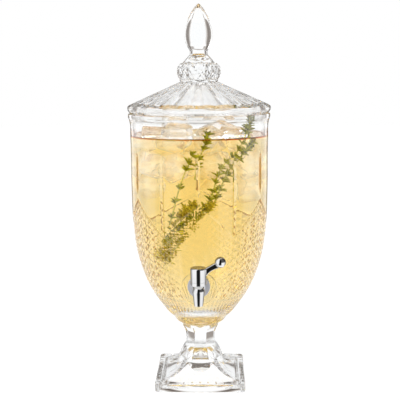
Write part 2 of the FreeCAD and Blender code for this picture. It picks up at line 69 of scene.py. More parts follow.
# Studio: a white table and backdrop with a darker room in front, as (place, brightness) stops.
# Round goes from 0 at the front to 1 at the back, sky from 0 at the horizon to 1 overhead, and
# side from 0 at the back by way of the left, 0.5 at the front, to 1 at the back again.
# Metal mirrors METAL_ROUND, darkened by METAL_SKY on the side where DARK_SIDE is low, and the face
# of the glass mirrors GLOSS_ROUND.
METAL_ROUND = [(0.0, 0.01), (0.1, 0.01), (0.15, 1.0), (0.4, 1.0), (0.5, 0.75), (0.6, 0.3), (0.75, 0.15),
               (1.0, 0.1)]
METAL_SKY = [(0.0, 0.06), (0.9, 0.06), (1.0, 0.5)]
GLOSS_ROUND = [(0.0, 0.01), (0.12, 0.01), (0.3, 0.03), (0.36, 0.3), (0.45, 0.5), (0.55, 0.9),
               (0.82, 0.9), (0.87, 0.1), (0.97, 0.1), (1.0, 0.5)]
GLOSS_LEVEL = 1.8
DARK_SIDE = [(0.0, 1.0), (0.43, 1.0), (0.47, 0.04), (0.9, 0.04), (0.96, 1.0)]
# Painted shade: how much darker glass looks when metal mirrors it
MIRROR_SHADE = 0.8

# Seen through empty glass: the room, and the table under the foot, near it and far from it, with the
# distances in metres at which they go over into each other. Under the foot the table has painted shadow:
# dark rings beneath the plinth's rim.
FLAGS_ROUND = [(0.0, 0.06), (0.16, 0.06), (0.19, 1.0), (0.31, 1.0), (0.34, 0.06), (0.42, 0.06),
               (0.45, 1.0), (0.55, 1.0), (0.59, 0.15)]
CLEAR_ROUND = FLAGS_ROUND + [(0.64, 0.15), (0.67, 0.9), (0.7, 0.9), (0.73, 0.15), (0.8, 0.15), (0.84, 1.0)]
NEAR_ROUND = FLAGS_ROUND + [(0.67, 0.15), (0.7, 1.0), (0.8, 1.0), (0.825, 0.3), (0.87, 0.3), (0.895, 1.0)]
CLEAR_SKY = [(0.0, 1.0), (0.42, 1.0), (0.47, 0.45), (0.5, 0.45), (0.54, 1.0), (0.72, 1.0), (0.76, 0.45),
             (0.8, 0.45), (0.84, 1.0)]
CLEAR_LEVEL = 1.12
WARMTH = (1.0, 1.12, 1.22)
CLEAR_TABLE = (0.13, 0.17)
NEAR_TABLE = (1.3, 1.5)
UNDER_FOOT_SHADOW = [(0.0, 0.97), (0.054, 0.96), (0.057, 0.12), (0.065, 0.12), (0.069, 0.93), (0.082, 0.93),
              (0.085, 0.1), (0.092, 0.1), (0.096, 0.95)]

# Seen through the filled bowl, after more surfaces than DEEP_PATH: the room, and the table with a painted
# shadow that darkens it towards the foot
DEEP_ROUND = [(0.0, 0.72), (0.6, 0.7), (0.68, 0.64), (0.78, 0.66), (0.87, 0.82), (0.95, 1.0)]
DEEP_SKY = [(0.0, 0.98), (0.2, 1.0), (0.5, 1.0), (0.6, 0.82), (1.0, 0.85)]
DEEP_TABLE_SHADOW = [(0.0, 0.88), (0.1, 0.93), (0.17, 1.0)]
DEEP_TABLE_SPAN = 3.0
DEEP_FAR = (2.15, 2.4)
DEEP_LEVEL = 1.08
DEEP_PATH = 4.5

# Light on matt surfaces in the open and inside the glass, the floor, and the lamp
WORLD_LEVEL = 0.75
WITHIN_LEVEL = 3.2
LIGHT_BOUNCES = 128
FLOOR_REACH = 6.0
FLOOR_TONE = 0.22
FLOOR_GAP = 0.0004
FLOOR_GLOW = 0.86
TABLE_REACH = (0.2, 0.26)
KEY_PLACE = (-0.7, -0.8, 1.2)
KEY_AIM = (0.0, 0.0, 0.25)
KEY_POWER = 6.0
KEY_SIZE = 0.8

# Columns that smooth turned pieces are made of, and in millimetres how far apart their rows are and
# how far tools reach past what they cut. Creases, further on, are in degrees.
TURNED_COLUMNS = 144
TURNED_STEP = 4.0
OVERSHOOT = 5.0

# Bowl outlines in millimetres, as (radius, height), read downwards
LIP_TOP = 379.3
LIP_RADIUS = 97.6
LIP_EDGE = 1.2
LIP_FACE_LOW = 374.8
WALL_STEP = 5.0
BOWL_OUTER = [(96.2, 370.8), (94.9, 345.0), (94.5, 279.0), (92.9, 228.0), (88.3, 189.0),
              (79.7, 158.5), (70.3, 136.6), (56.1, 114.6), (45.9, 101.5), (36.8, 92.4)]
BOWL_BEAD = [(36.8, 92.4), (34.4, 88.6), (27.2, 83.8)]
BOWL_INNER = [(91.4, 379.3), (89.5, 340.0), (89.0, 279.0), (87.3, 230.0), (82.7, 192.5),
              (74.3, 163.0), (64.6, 141.5), (50.4, 122.5), (32.0, 112.6), (8.0, 109.2), (0.0, 109.0)]

# Cuts on the bowl, in millimetres, with the number of diamonds round the lattice, the columns in half
# a diamond, and the plain panel's middle and reach in half diamonds
DIAMONDS_ROUND = 54
HALF_COLUMNS = 2 * DIAMONDS_ROUND
FINE = 4
HALF_ROW = 4.93
ZIGZAG_PEAK = 264.5
ZIGZAG_STEPS = 9
ZIGZAG_WIDTH = 2.1
MITRE_SPACING = math.radians(30.0)
MITRE_HALF = 2.8
MITRE_TOP = 331.0
MITRE_TAPER = 12.0
MITRE_START = 6.0
MITRE_STEP = 3.6
LENS_LOW = 272.0
LATTICE_LOW = 131.0
PLAIN_PANEL = (17.5, 9.0)
RING_HALF = 2.0
FLUTE_LOW = 99.0
FLUTES_ROUND = 72
FLUTE_DEPTH = 0.9
FLUTE_TAPER = 6.0
FLUTE_STEP = 2.6
BEAD_STEP = 1.4
BOWL_CREASE = 13.0

# Boss for the tap on the bowl's front, in millimetres
BOSS_RADIUS = 23.5
BOSS_HEIGHT = 152.5
BOSS_FACE = -84.0
BOSS_EDGE = 2.0
BOSS_DEPTH = 30.0
BOSS_COLUMNS = 96
SEAT_RADIUS = 15.0
SEAT_FACE = -72.0
SEAT_DEPTH = 25.0
HOLE_RADIUS = 8.25
SHANK_HEIGHT = 156.5

# Foot, in millimetres
FOOT_COLUMNS = 96
PLINTH_SIDE = 125.0
PLINTH_THICK = 13.0
PLINTH_CORNER = 6.0
PLINTH_EDGE = 2.5
BORDER_WIDTH = 8.0
BORDER_CELLS = 10
NOTCH_RADIUS = 1.76
NOTCH_SHIFT = (0.6, 0.35)
PYRAMID_TOP = (21.4, 36.0)
PYRAMID_MIDDLE = (35.45, 19.5)
PANEL_HOLLOW = 1.3
PANEL_COLUMNS = 7
PANEL_FADE = 3.0
PANEL_RADII = (15.0, 35.0)
COLLAR = [(0.0, 31.0), (30.6, 31.0), (30.6, 35.2), (29.8, 36.0), (28.0, 36.6), (0.0, 36.6)]
WEB = [(0.0, 12.0), (36.5, 12.0), (30.3, 32.0), (0.0, 32.0)]
STEM_FLARE = [(29.4, 36.0), (26.2, 42.4), (23.6, 47.0)]
STEM_WAIST = [(20.9, 50.5), (20.1, 64.0), (20.9, 72.0), (24.0, 79.0), (27.5, 84.4)]
STEM_SIDES = 8
STEM_ROUND = (79.0, 84.0)
HOLLOW_WALL = [(56.0, -1.0), (55.0, 5.0), (50.5, 8.2), (32.1, 14.5), (17.5, 31.0), (14.5, 45.0)]
HOLLOW_DOME = [(90.0, -1.0), (66.0, 9.0), (44.0, 16.0), (25.5, 29.0), (17.5, 38.0), (9.5, 43.0),
               (0.0, 44.5)]
HOLLOW_CORE = 10.0
HOLLOW_STEPS = [0.3, 1.2] + [2.5 * step for step in range(1, 18)]

# Lid and finial, in millimetres
LID_CONE_TOP = (27.0, 421.6)
LID_CONE_LOW = (95.4, 391.2)
LID_RIM = [(95.4, 391.2), (97.5, 389.6), (98.4, 386.6), (97.6, 383.4), (94.6, 379.3)]
LID_RING = [(89.6, 379.3), (89.6, 372.0), (89.0, 371.5), (85.6, 371.5), (85.0, 372.0)]
LID_WALL = 6.0
LID_CROWN = [(20.0, 415.7), (8.0, 415.7), (4.0, 418.7), (0.0, 418.7)]
LID_FLUTES = 24
LID_FLUTE_COLUMNS = 12
LID_STEP = 3.0
LID_FLUTE_DEPTH = 1.5
LID_FLUTE_SHARE = 0.82
LID_CREASE = 14.0
FINIAL_FOOT = [(0.0, 421.0), (25.0, 421.0), (25.6, 422.6)]
KNOP_OUTLINE = [(26.3, 424.0), (28.6, 428.6), (30.3, 436.0), (29.4, 441.6), (26.0, 446.0)]
KNOP_DIAMONDS = 28
KNOP_ROW = 4.4
KNOP_DEPTH = 1.3
KNOP_TOP = (24.4, 447.0)
SHOULDER = [(21.8, 447.6), (18.4, 451.8), (14.4, 456.2)]
NECK = [(13.1, 457.4), (12.0, 459.6), (12.0, 463.4), (13.1, 465.6)]
BUD_OUTLINE = [(13.1, 465.6), (16.9, 472.0), (18.8, 481.5), (18.7, 489.0), (16.2, 500.0),
               (11.6, 512.0), (6.3, 520.5), (1.6, 525.8)]
BUD_TIP = (0.0, 526.5)
BUD_PANELS = 6
BUD_FLATNESS = 0.68
BUD_ROUND = (0.5, 8.0)

# Herb sprigs: the colour of the leaves, the distance from whorl to whorl, and the line of the stem
# from its tip down, in millimetres
SPRIGS = {
    "sprig_tall": ("green", 12.5, [
        (66.0, -52.0, 369.0), (63.0, -54.0, 359.5), (59.3, -57.0, 349.5), (50.8, -61.0, 337.5),
        (45.8, -62.0, 329.2), (32.9, -64.0, 317.7), (24.4, -66.0, 306.8), (15.0, -68.0, 268.2),
        (-0.1, -68.0, 252.3), (-21.4, -66.0, 238.6), (-40.8, -58.0, 207.3)]),
    "sprig_side": ("green", 12.0, [
        (65.6, -46.0, 343.0), (56.8, -50.0, 330.7), (49.7, -54.0, 321.2), (36.9, -56.0, 308.9),
        (27.6, -58.0, 287.9), (18.0, -58.0, 262.0)]),
    "sprig_short": ("green", 14.0, [
        (12.2, -64.0, 351.5), (8.3, -66.0, 338.9), (3.0, -68.0, 328.7), (-2.3, -68.0, 313.1),
        (-4.0, -64.0, 296.0)]),
    "sprig_left": ("green", 22.0, [
        (-7.3, -68.0, 326.3), (-13.2, -70.0, 313.4), (-19.3, -71.0, 297.7), (-26.1, -70.0, 275.2),
        (-30.9, -69.0, 253.9), (-35.9, -66.0, 236.0)]),
    "sprig_low": ("golden", 8.0, [
        (14.0, -68.0, 262.0), (-2.0, -68.0, 243.0), (-22.0, -65.0, 218.0), (-37.0, -58.0, 192.0),
        (-40.0, -46.0, 174.0)]),
    "sprig_lower": ("golden", 8.0, [
        (-8.0, -69.0, 262.0), (-20.0, -68.0, 240.0), (-34.0, -61.0, 214.0), (-46.0, -50.0, 184.0)]),
    "sprig_edge": ("golden", 9.0, [
        (-18.0, -68.0, 256.0), (-32.0, -64.0, 232.0), (-46.0, -55.0, 206.0), (-53.0, -44.0, 180.0)]),
}

# The whorls stand closer along the tip, by a share of their distance, which varies within a range.
# Each is turned from the last by a quarter, give or take WHORL_TURN. The stalk's radius at the tip
# and what it gains further down are in millimetres, and so are the first whorl's distance from the
# tip, the stalk's bare end and TIP_LENGTH.
FIRST_WHORL = 0.5
BARE_END = 4.0
TIP_LENGTH = 16.0
TIP_SPACING = 0.45
SPACING_RANGE = (0.75, 1.3)
WHORL_TURN = 0.4
STALK_RADIUS = (0.6, 0.5)

# Large and small leaves: how steeply they rise, with their length and their distance from the whorl in
# millimetres, then the width as a share of the length, the spread and the twist
LARGE_LEAF = ((0.3, 1.3), (8.0, 11.5), (0.0, 1.5))
SMALL_LEAF = ((1.0, 3.0), (5.0, 8.0), (1.0, 4.0))
LEAF_WIDTH = (0.34, 0.46)
LEAF_SPREAD = 0.6
LEAF_TWIST = 1.2

# Matt herbs, with leaves that go darker by height within DARKER_SPAN metres above the drink and stay darker
# above that
MATT_PLANT = {"Roughness": 0.5, "Specular IOR Level": 0.1}
DARKER_SPAN = 0.006
HERB_SEED = 5
HERB_CREASE = 60.0

# The drink's rim as steps in and down from where it meets the glass, the height of its edge, and how
# far it is let into the glass and below which height also downwards, in millimetres
DRINK_RIM = [(3.5, 1.4), (1.8, 1.1), (0.9, 0.6)]
MENISCUS = 2.2
DRINK_SWELL = 0.5
DRINK_SWELL_LOW = 150.0
DRINK_CREASE = 40.0

# What glass does to light inside it, and the painted glow that ice gives off in place of the light its
# cloudy cores scatter, for each metre
GLASS_TONE = (0.75, 0.75, 0.75)
GLASS_STRENGTH = 6.0
ICE_PAINTED_GLOW = (0.4, 0.6, 1.0)
ICE_GLOW = 8.0

# Ice cubes: rounding and dents as shares of the size, the largest turn in radians, and then the
# centre and side of each in millimetres
ICE_EDGE = 0.13
ICE_DENT = 0.06
ICE_DENT_SCALE = 60.0
ICE_DENT_SHIFT = 3.1
ICE_TURN = 0.9
ICE_SEED = 11
ICE_CREASE = 80.0
ICE = [((-60.0, -20.0, 349.0), 31.0), ((-34.0, 22.0, 361.0), 34.0), ((-29.0, -40.0, 352.0), 34.0),
       ((-3.0, -10.0, 343.0), 27.0), ((26.0, 26.0, 362.0), 34.0), ((14.0, -38.0, 347.0), 29.0),
       ((46.0, -10.0, 347.0), 31.0), ((62.0, 30.0, 343.0), 28.0), ((-60.0, 34.0, 341.0), 30.0),
       ((0.0, 62.0, 341.0), 31.0), ((-57.0, -36.0, 314.0), 31.0), ((-20.0, -4.0, 312.0), 33.0),
       ((-28.0, -46.0, 310.0), 28.0), ((18.0, -26.0, 312.0), 32.0), ((56.0, -22.0, 313.0), 31.0),
       ((58.0, 16.0, 310.0), 32.0), ((-56.0, 20.0, 310.0), 33.0), ((0.0, 44.0, 310.0), 32.0),
       ((56.0, -18.0, 280.0), 30.0), ((24.0, 20.0, 278.0), 31.0), ((-54.0, -22.0, 284.0), 27.0)]


class DispenserSizes(bpy.types.PropertyGroup):
    """Sizes that a user may change."""

    drink_level: FloatProperty(
        name="Drink level", description="Height of the drink's surface above the foot",
        default=0.3500, min=0.12, max=0.37, unit="LENGTH")
    mitre_depth: FloatProperty(
        name="Mitre slope", description="Depth of a long cut for each unit of its half width",
        default=0.65, min=0.1, max=1.0)
    diamond_depth: FloatProperty(
        name="Diamond depth", description="Height of the lattice's points above its grooves",
        default=0.00085, min=0.0, max=0.003, unit="LENGTH")


class DispenserColours(bpy.types.PropertyGroup):
    """Colours that a user may change."""

    drink: FloatVectorProperty(
        name="Drink", description="Colour that passes through the drink",
        default=(1.0, 0.79, 0.04), size=3, min=0.0, max=1.0, subtype="COLOR")
    drink_strength: FloatProperty(
        name="Drink strength", description="How fast the drink takes up light with depth",
        default=9.2, min=0.0, max=50.0)


def smooth_outline(points, spacing=0.25):
    """Points close together on a smooth curve through the given ones, which are in millimetres."""
    knots = [Vector((radius, 0.0, height)) for radius, height in points]
    slopes = []
    for index in range(len(knots)):
        before = knots[max(index - 1, 0)]
        after = knots[min(index + 1, len(knots) - 1)]
        back = (knots[index] - before).length or 1.0
        ahead = (after - knots[index]).length or 1.0
        lean = (knots[index] - before) / back * ahead + (after - knots[index]) / ahead * back
        slopes.append(lean.normalized())
    found = [knots[0]]
    for index in range(len(knots) - 1):
        start, end = knots[index], knots[index + 1]
        reach = (end - start).length / 3.0
        count = max(2, int((end - start).length / spacing))
        run = geometry.interpolate_bezier(start, start + slopes[index] * reach,
                                          end - slopes[index + 1] * reach, end, count + 1)
        found.extend(run[1:])
    return [(point.x, point.z) for point in found]


class Outline:
    """A fine outline that can be read by the distance along it, or by height."""

    def __init__(self, points):
        self.points = points
        self.lengths = [0.0]
        self.falling = [-height for _, height in points]
        for (r0, z0), (r1, z1) in zip(points, points[1:]):
            self.lengths.append(self.lengths[-1] + math.hypot(r1 - r0, z1 - z0))

    def at(self, length):
        """Radius and height at a distance along."""
        index = min(max(bisect.bisect_right(self.lengths, length) - 1, 0), len(self.points) - 2)
        span = self.lengths[index + 1] - self.lengths[index]
        share = (length - self.lengths[index]) / span
        (r0, z0), (r1, z1) = self.points[index], self.points[index + 1]
        return r0 + (r1 - r0) * share, z0 + (z1 - z0) * share

    def length_at(self, height):
        """Distance along an outline that falls all the way, where it passes a height."""
        index = min(max(bisect.bisect_right(self.falling, -height) - 1, 0), len(self.points) - 2)
        (_, z0), (_, z1) = self.points[index], self.points[index + 1]
        share = (height - z0) / (z1 - z0) if z1 != z0 else 0.0
        return self.lengths[index] + share * (self.lengths[index + 1] - self.lengths[index])

    def rows(self, start, end, spacing):
        """Points evenly spaced from one distance to another, with both ends."""
        count = max(1, round((end - start) / spacing))
        return [self.at(start + (end - start) * index / count) for index in range(count + 1)]


def spun(outline, columns):
    """A bmesh made by spinning an outline in millimetres about the Z axis, and merged."""
    bm = bmesh.new()
    chain = [bm.verts.new((radius * MM, 0.0, height * MM)) for radius, height in outline]
    edges = [bm.edges.new(pair) for pair in zip(chain, chain[1:])]
    sectors = 12 if columns % 12 == 0 else 1
    bmesh.ops.spin(bm, geom=chain + edges, cent=(0, 0, 0), axis=(0, 0, 1), angle=FULL_TURN / sectors,
                   steps=columns // sectors, use_merge=sectors == 1)
    sector = list(bm.verts) + list(bm.edges) + list(bm.faces)
    for number in range(1, sectors):
        copy = bmesh.ops.duplicate(bm, geom=sector)["geom"]
        moved = [item for item in copy if isinstance(item, bmesh.types.BMVert)]
        bmesh.ops.rotate(bm, verts=moved, cent=(0, 0, 0),
                         matrix=Matrix.Rotation(FULL_TURN * number / sectors, 3, "Z"))
    bmesh.ops.remove_doubles(bm, verts=bm.verts, dist=1e-6)
    return bm


def closed_caps(bm):
    """Fill the open ends of a turned shape and turn its faces outwards."""
    rims = [edge for edge in bm.edges if edge.is_boundary]
    if rims:
        bmesh.ops.edgeloop_fill(bm, edges=rims)
    bmesh.ops.recalc_face_normals(bm, faces=bm.faces)
    return bm


def placed(name, bm, materials=()):
    """A new object from a bmesh, which is freed."""
    mesh = bpy.data.meshes.new(name)
    bm.to_mesh(mesh)
    bm.free()
    obj = bpy.data.objects.new(name, mesh)
    bpy.context.scene.collection.objects.link(obj)
    for material in materials:
        mesh.materials.append(material)
    return obj


def carved(obj, steps):
    """Join or cut other objects out of one, in order, and remove them."""
    for operation, tool in steps:
        modifier = obj.modifiers.new(operation.lower(), "BOOLEAN")
        modifier.operation = operation
        modifier.solver = "MANIFOLD"
        modifier.object = tool
    bpy.context.view_layer.update()
    evaluated = obj.evaluated_get(bpy.context.evaluated_depsgraph_get())
    mesh = bpy.data.meshes.new_from_object(evaluated)
    obj.modifiers.clear()
    finish = obj.data.materials[0] if obj.data.materials else None
    obj.data = mesh
    mesh.name = obj.name
    mesh.polygons.foreach_set("material_index", [0] * len(mesh.polygons))
    mesh.materials.clear()
    if finish:
        mesh.materials.append(finish)
    for _, tool in steps:
        bpy.data.objects.remove(tool)
    return obj


def shade(obj, crease):
    """Smooth shading that keeps every edge sharper than the crease angle, in degrees."""
    obj.data.shade_smooth()
    obj.data.set_sharp_from_angle(angle=math.radians(crease))
    return obj


def level_rod(radius, start, end, height, columns=64, edge=0.0):
    """A bmesh cylinder along Y, in millimetres, with its front edge rounded if asked."""
    bm = bmesh.new()
    bmesh.ops.create_cone(bm, cap_ends=True, segments=columns, radius1=radius * MM, radius2=radius * MM,
                          depth=(end - start) * MM)
    if edge:
        front = [e for e in bm.edges if all(v.co.z < 0 for v in e.verts)]
        bmesh.ops.bevel(bm, geom=front, offset=edge * MM, affect="EDGES", segments=5, profile=0.5,
                        material=-1)
    turn = Matrix.Rotation(math.radians(-90.0), 4, "X")
    move = Matrix.Translation((0.0, (start + end) / 2.0 * MM, height * MM))
    bmesh.ops.transform(bm, matrix=move @ turn, verts=bm.verts)
    return bm


class Shading:
    """The nodes of a material or of the world, and the values that they work out."""

    def __init__(self, tree):
        self.tree = tree

    def add(self, kind, **values):
        """A new node, with its own settings or the numbers on its sockets."""
        node = self.tree.nodes.new(kind)
        for key, value in values.items():
            if hasattr(node, key):
                setattr(node, key, value)
            else:
                node.inputs[key.replace("_", " ").title()].default_value = value
        return node

    def feed(self, value, socket):
        """Link a value to a socket, or set it there if it is a number, which is a grey for a colour."""
        if not isinstance(value, (int, float)):
            self.tree.links.new(value, socket)
        elif socket.type == "RGBA":
            socket.default_value = (value, value, value, 1.0)
        else:
            socket.default_value = value

    def reckoned(self, operation, one, other=0.0):
        """A value worked out from one or two others."""
        node = self.add("ShaderNodeMath", operation=operation)
        self.feed(one, node.inputs[0])
        self.feed(other, node.inputs[1])
        return node.outputs["Value"]

    def scaled(self, value, factor):
        """A value multiplied by another."""
        return self.reckoned("MULTIPLY", value, factor)

    def span(self, value, start, end, low=0.0, high=1.0):
        """A value carried from one span to another, 0 to 1 if no other is given."""
        node = self.add("ShaderNodeMapRange", from_min=start, from_max=end, to_min=low, to_max=high)
        self.feed(value, node.inputs["Value"])
        return node.outputs["Result"]

    def ramp(self, value, stops):
        """A colour read off a ramp of stops, which are (position, brightness) or (position, colour)."""
        node = self.add("ShaderNodeValToRGB")
        elements = node.color_ramp.elements
        while len(elements) < len(stops):
            elements.new(0.5)
        for element, (position, level) in zip(elements, stops):
            element.position = position
            element.color = (*level, 1.0) if isinstance(level, tuple) else (level, level, level, 1.0)
        self.feed(value, node.inputs["Fac"])
        return node.outputs["Color"]

    def between(self, factor, low, high):
        """A value between two others."""
        node = self.add("ShaderNodeMix")
        for name, value in (("Factor", factor), ("A", low), ("B", high)):
            self.feed(value, node.inputs[name])
        return node.outputs["Result"]

    def tint_between(self, factor, low, high):
        """A colour between two others."""
        node = self.add("ShaderNodeMix", data_type="RGBA")
        for place, value in ((0, factor), (6, low), (7, high)):
            self.feed(value, node.inputs[place])
        return node.outputs[2]

    def place(self, kind="Object"):
        """Where a point is on the object, or in which direction the world is seen."""
        return self.add("ShaderNodeTexCoord").outputs[kind]

    def bearing(self, place):
        """How far round a place is, from 0 at the front to 1 at the back, its height and its side."""
        parts = self.add("ShaderNodeSeparateXYZ")
        self.feed(place, parts.inputs["Vector"])
        turn = self.reckoned("ARCTAN2", parts.outputs["X"], self.scaled(parts.outputs["Y"], -1.0))
        share = self.scaled(turn, 1.0 / math.pi)
        return self.reckoned("ABSOLUTE", share), parts.outputs["Z"], self.span(share, -1.0, 1.0)

    def through_glass(self, path, clear, deep):
        """The level seen through empty glass, browner the darker it is, or that through the full bowl."""
        level = self.scaled(clear, CLEAR_LEVEL)
        warmed = self.add("ShaderNodeCombineColor")
        for name, power in zip(("Red", "Green", "Blue"), WARMTH):
            self.feed(self.reckoned("POWER", level, power), warmed.inputs[name])
        crossed = self.reckoned("GREATER_THAN", path["Transmission Depth"], DEEP_PATH)
        return self.tint_between(crossed, warmed.outputs["Color"], deep)

    def by_ray(self, path, plain, through, within, camera):
        """What a ray sees: plain, through glass, from a matt piece in the open or in glass, or directly."""
        seen = self.tint_between(path["Is Transmission Ray"], plain, through)
        matt = self.between(path["Is Transmission Ray"], within, WITHIN_LEVEL)
        seen = self.tint_between(path["Diffuse Depth"], seen, matt)
        return self.tint_between(path["Is Camera Ray"], seen, camera)


class Finish(Shading):
    """A material whose Principled shader is set as asked and then refined."""

    def __init__(self, name, settings):
        self.material = bpy.data.materials.new(name)
        self.material.use_nodes = True
        super().__init__(self.material.node_tree)
        self.shader = next(node for node in self.tree.nodes if node.type == "BSDF_PRINCIPLED")
        for socket, value in settings.items():
            self.shader.inputs[socket].default_value = value

    def ripple(self, scale, strength, distance, detail=2.0, stretch=1.0):
        """Slight unevenness of a pressed or poured surface, as a bump from a noise, which is returned."""
        spread = self.add("ShaderNodeMapping")
        spread.inputs["Scale"].default_value = (1.0, 1.0, stretch)
        waves = self.add("ShaderNodeTexNoise", scale=scale, detail=detail)
        bump = self.add("ShaderNodeBump", strength=strength, distance=distance)
        self.feed(self.place(), spread.inputs["Vector"])
        self.feed(spread.outputs["Vector"], waves.inputs["Vector"])
        self.feed(waves.outputs["Fac"], bump.inputs["Height"])
        self.feed(bump.outputs["Normal"], self.shader.inputs["Normal"])
        return waves.outputs["Fac"]

    def tint(self, waves, low, high):
        """Vary the base colour with a noise."""
        self.feed(self.ramp(waves, [(0.35, low), (0.65, high)]), self.shader.inputs["Base Color"])

    def retint(self, share, level):
        """Let the base colour go over to a grey by a share."""
        base = self.shader.inputs["Base Color"]
        self.feed(self.tint_between(share, base.links[0].from_socket, level), base)

    def shade_in_metal_mirror(self):
        """Painted shade: let metal mirror the material darker than it looks."""
        path = self.add("ShaderNodeLightPath").outputs
        earlier = self.reckoned("ADD", path["Transmission Depth"], path["Diffuse Depth"])
        other = self.reckoned("ADD", path["Is Singular Ray"], earlier)
        mirrored = self.reckoned("GREATER_THAN", path["Is Glossy Ray"], other)
        self.retint(self.scaled(mirrored, MIRROR_SHADE), 0.0)

    def fill(self, kind, colour, measure, amount):
        """Fill the material's inside with a node that has a colour and an amount."""
        inside = self.add(kind)
        inside.inputs["Color"].default_value = (*colour, 1.0)
        inside.inputs[measure].default_value = amount
        output = next(node for node in self.tree.nodes if node.type == "OUTPUT_MATERIAL")
        self.feed(inside.outputs[0], output.inputs["Volume"])


def clear_glass():
    """Bright soda glass with the faint waves that pressing leaves."""
    known = bpy.data.materials.get("clear_glass_finish")
    if known:
        return known
    finish = Finish("clear_glass_finish", {"Transmission Weight": 1.0, "Roughness": 0.0, "IOR": 1.5})
    finish.tint(finish.ripple(45.0, 0.08, 0.001), (0.985, 0.99, 0.985), (1.0, 1.0, 0.998))
    finish.shade_in_metal_mirror()
    finish.fill("ShaderNodeVolumeAbsorption", GLASS_TONE, "Density", GLASS_STRENGTH)
    return finish.material


def drink_finish(name, colours, low, high):
    """Pale golden drink that takes up blue light with depth."""
    finish = Finish(name, {"Transmission Weight": 1.0, "Roughness": 0.0, "IOR": 1.33,
                           "Specular Tint": (*high, 1.0)})
    finish.tint(finish.ripple(30.0, 0.05, 0.001), low, high)
    finish.fill("ShaderNodeVolumeAbsorption", colours.drink, "Density", colours.drink_strength)
    return finish.material


def metal_finish(name, colour, roughness, grain, scratch=0.02, metallic=1.0):
    """Bright metal with fine polishing marks."""
    finish = Finish(name, {"Metallic": metallic})
    waves = finish.ripple(grain, scratch, 0.0002, detail=4.0)
    finish.tint(waves, tuple(part * 0.93 for part in colour), colour)
    marks = finish.span(waves, 0.0, 1.0, roughness * 0.7, roughness * 1.3)
    finish.feed(marks, finish.shader.inputs["Roughness"])
    return finish.material


def moulded_finish(name, low, high, roughness):
    """Plain moulded rubber or plastic."""
    finish = Finish(name, {"Roughness": roughness})
    finish.tint(finish.ripple(220.0, 0.15, 0.0002, detail=5.0), low, high)
    return finish.material


def plant_finish(name, low, high, grain):
    """Stalk or leaf with speckles."""
    finish = Finish(name, MATT_PLANT)
    finish.tint(finish.ripple(grain, 0.3, 0.0003, detail=3.0), low, high)
    return finish


def groove(distance, half_width, slope):
    """Depth of a V cut at a distance from its centre line."""
    return max(0.0, (half_width - abs(distance)) * slope)


def ends(value, start, end, taper):
    """A share that rises from 0 at the start to 1, and falls to 0 at the end."""
    return max(0.0, min(1.0, (value - start) / taper, (end - value) / taper))


def diamond_cut(i, j):
    """Depth of a diamond lattice at a place in half diamonds, 1 in its grooves and 0 on its points."""
    a, b = (i + j) / 2.0, (i - j) / 2.0
    return 1.0 - 2.0 * min(abs(a - round(a)), abs(b - round(b)))


def angle_of(point):
    """Angle from the front, -Y, counted towards +X."""
    return math.atan2(point.x, -point.y)


def leaning_faces(bm, cell):
    """Faces of a lattice, parted by the way their diagonals lean; cell gives a point's place or None."""
    parted = {0: [], 1: []}
    for face in bm.faces:
        place = cell(face.calc_center_median())
        if place:
            parted[(math.floor(place[0]) + math.floor(place[1])) % 2].append(face)
    return parted


class BowlCuts:
    """Depth of the bowl's cuts, in millimetres, at an angle from the front and a distance down."""

    def __init__(self, outline, sizes):
        self.outline = outline
        self.slope = sizes.mitre_depth
        self.diamond = sizes.diamond_depth / MM
        self.peak = outline.length_at(ZIGZAG_PEAK)
        self.mitre_top = outline.length_at(MITRE_TOP)
        self.lens_low = outline.length_at(LENS_LOW)
        rows = round((outline.length_at(LATTICE_LOW) - self.peak) / HALF_ROW)
        self.lattice_low = self.peak + rows * HALF_ROW
        self.flute_low = outline.length_at(FLUTE_LOW)

    def zigzag_below(self, angle):
        """Distance down to the zigzag line at an angle."""
        turn = abs(angle - 2.0 * MITRE_SPACING * round(angle / (2.0 * MITRE_SPACING)))
        return self.peak + turn / MITRE_SPACING * ZIGZAG_STEPS * HALF_ROW

    def cell(self, angle, length):
        """Place on the lattice, counted in half diamonds across and down."""
        return angle / FULL_TURN * HALF_COLUMNS, (length - self.peak) / HALF_ROW

    def depth(self, angle, length, radius):
        """How deep the deepest cut is at a place."""
        found = 0.0
        turn = round(angle / MITRE_SPACING)
        across = (angle - turn * MITRE_SPACING) * radius
        line = self.zigzag_below(angle)
        low = self.lens_low if turn % 2 == 0 else line + MITRE_TAPER
        half = MITRE_HALF * ends(length, self.mitre_top, low, MITRE_TAPER)
        if length < line + 0.01:
            found = groove(across, half, self.slope)
        lean = math.atan2(ZIGZAG_STEPS * HALF_ROW, MITRE_SPACING * radius)
        if length < self.lattice_low:
            found = max(found, groove((length - line) * math.cos(lean), ZIGZAG_WIDTH, self.slope))
        if line < length < self.lattice_low + 0.01:
            i, j = self.cell(angle, length)
            if abs(i) + abs(j - PLAIN_PANEL[0]) > PLAIN_PANEL[1]:
                found = max(found, self.diamond * diamond_cut(i, j))
        if self.lattice_low < length < self.flute_low:
            wave = abs(math.sin(angle * FLUTES_ROUND / 2.0))
            share = ends(length, self.lattice_low - RING_HALF, self.flute_low, FLUTE_TAPER)
            found = max(found, FLUTE_DEPTH * (1.0 - wave) * share)
        ring = groove(length - self.lattice_low, RING_HALF, self.slope)
        return max(found, ring)


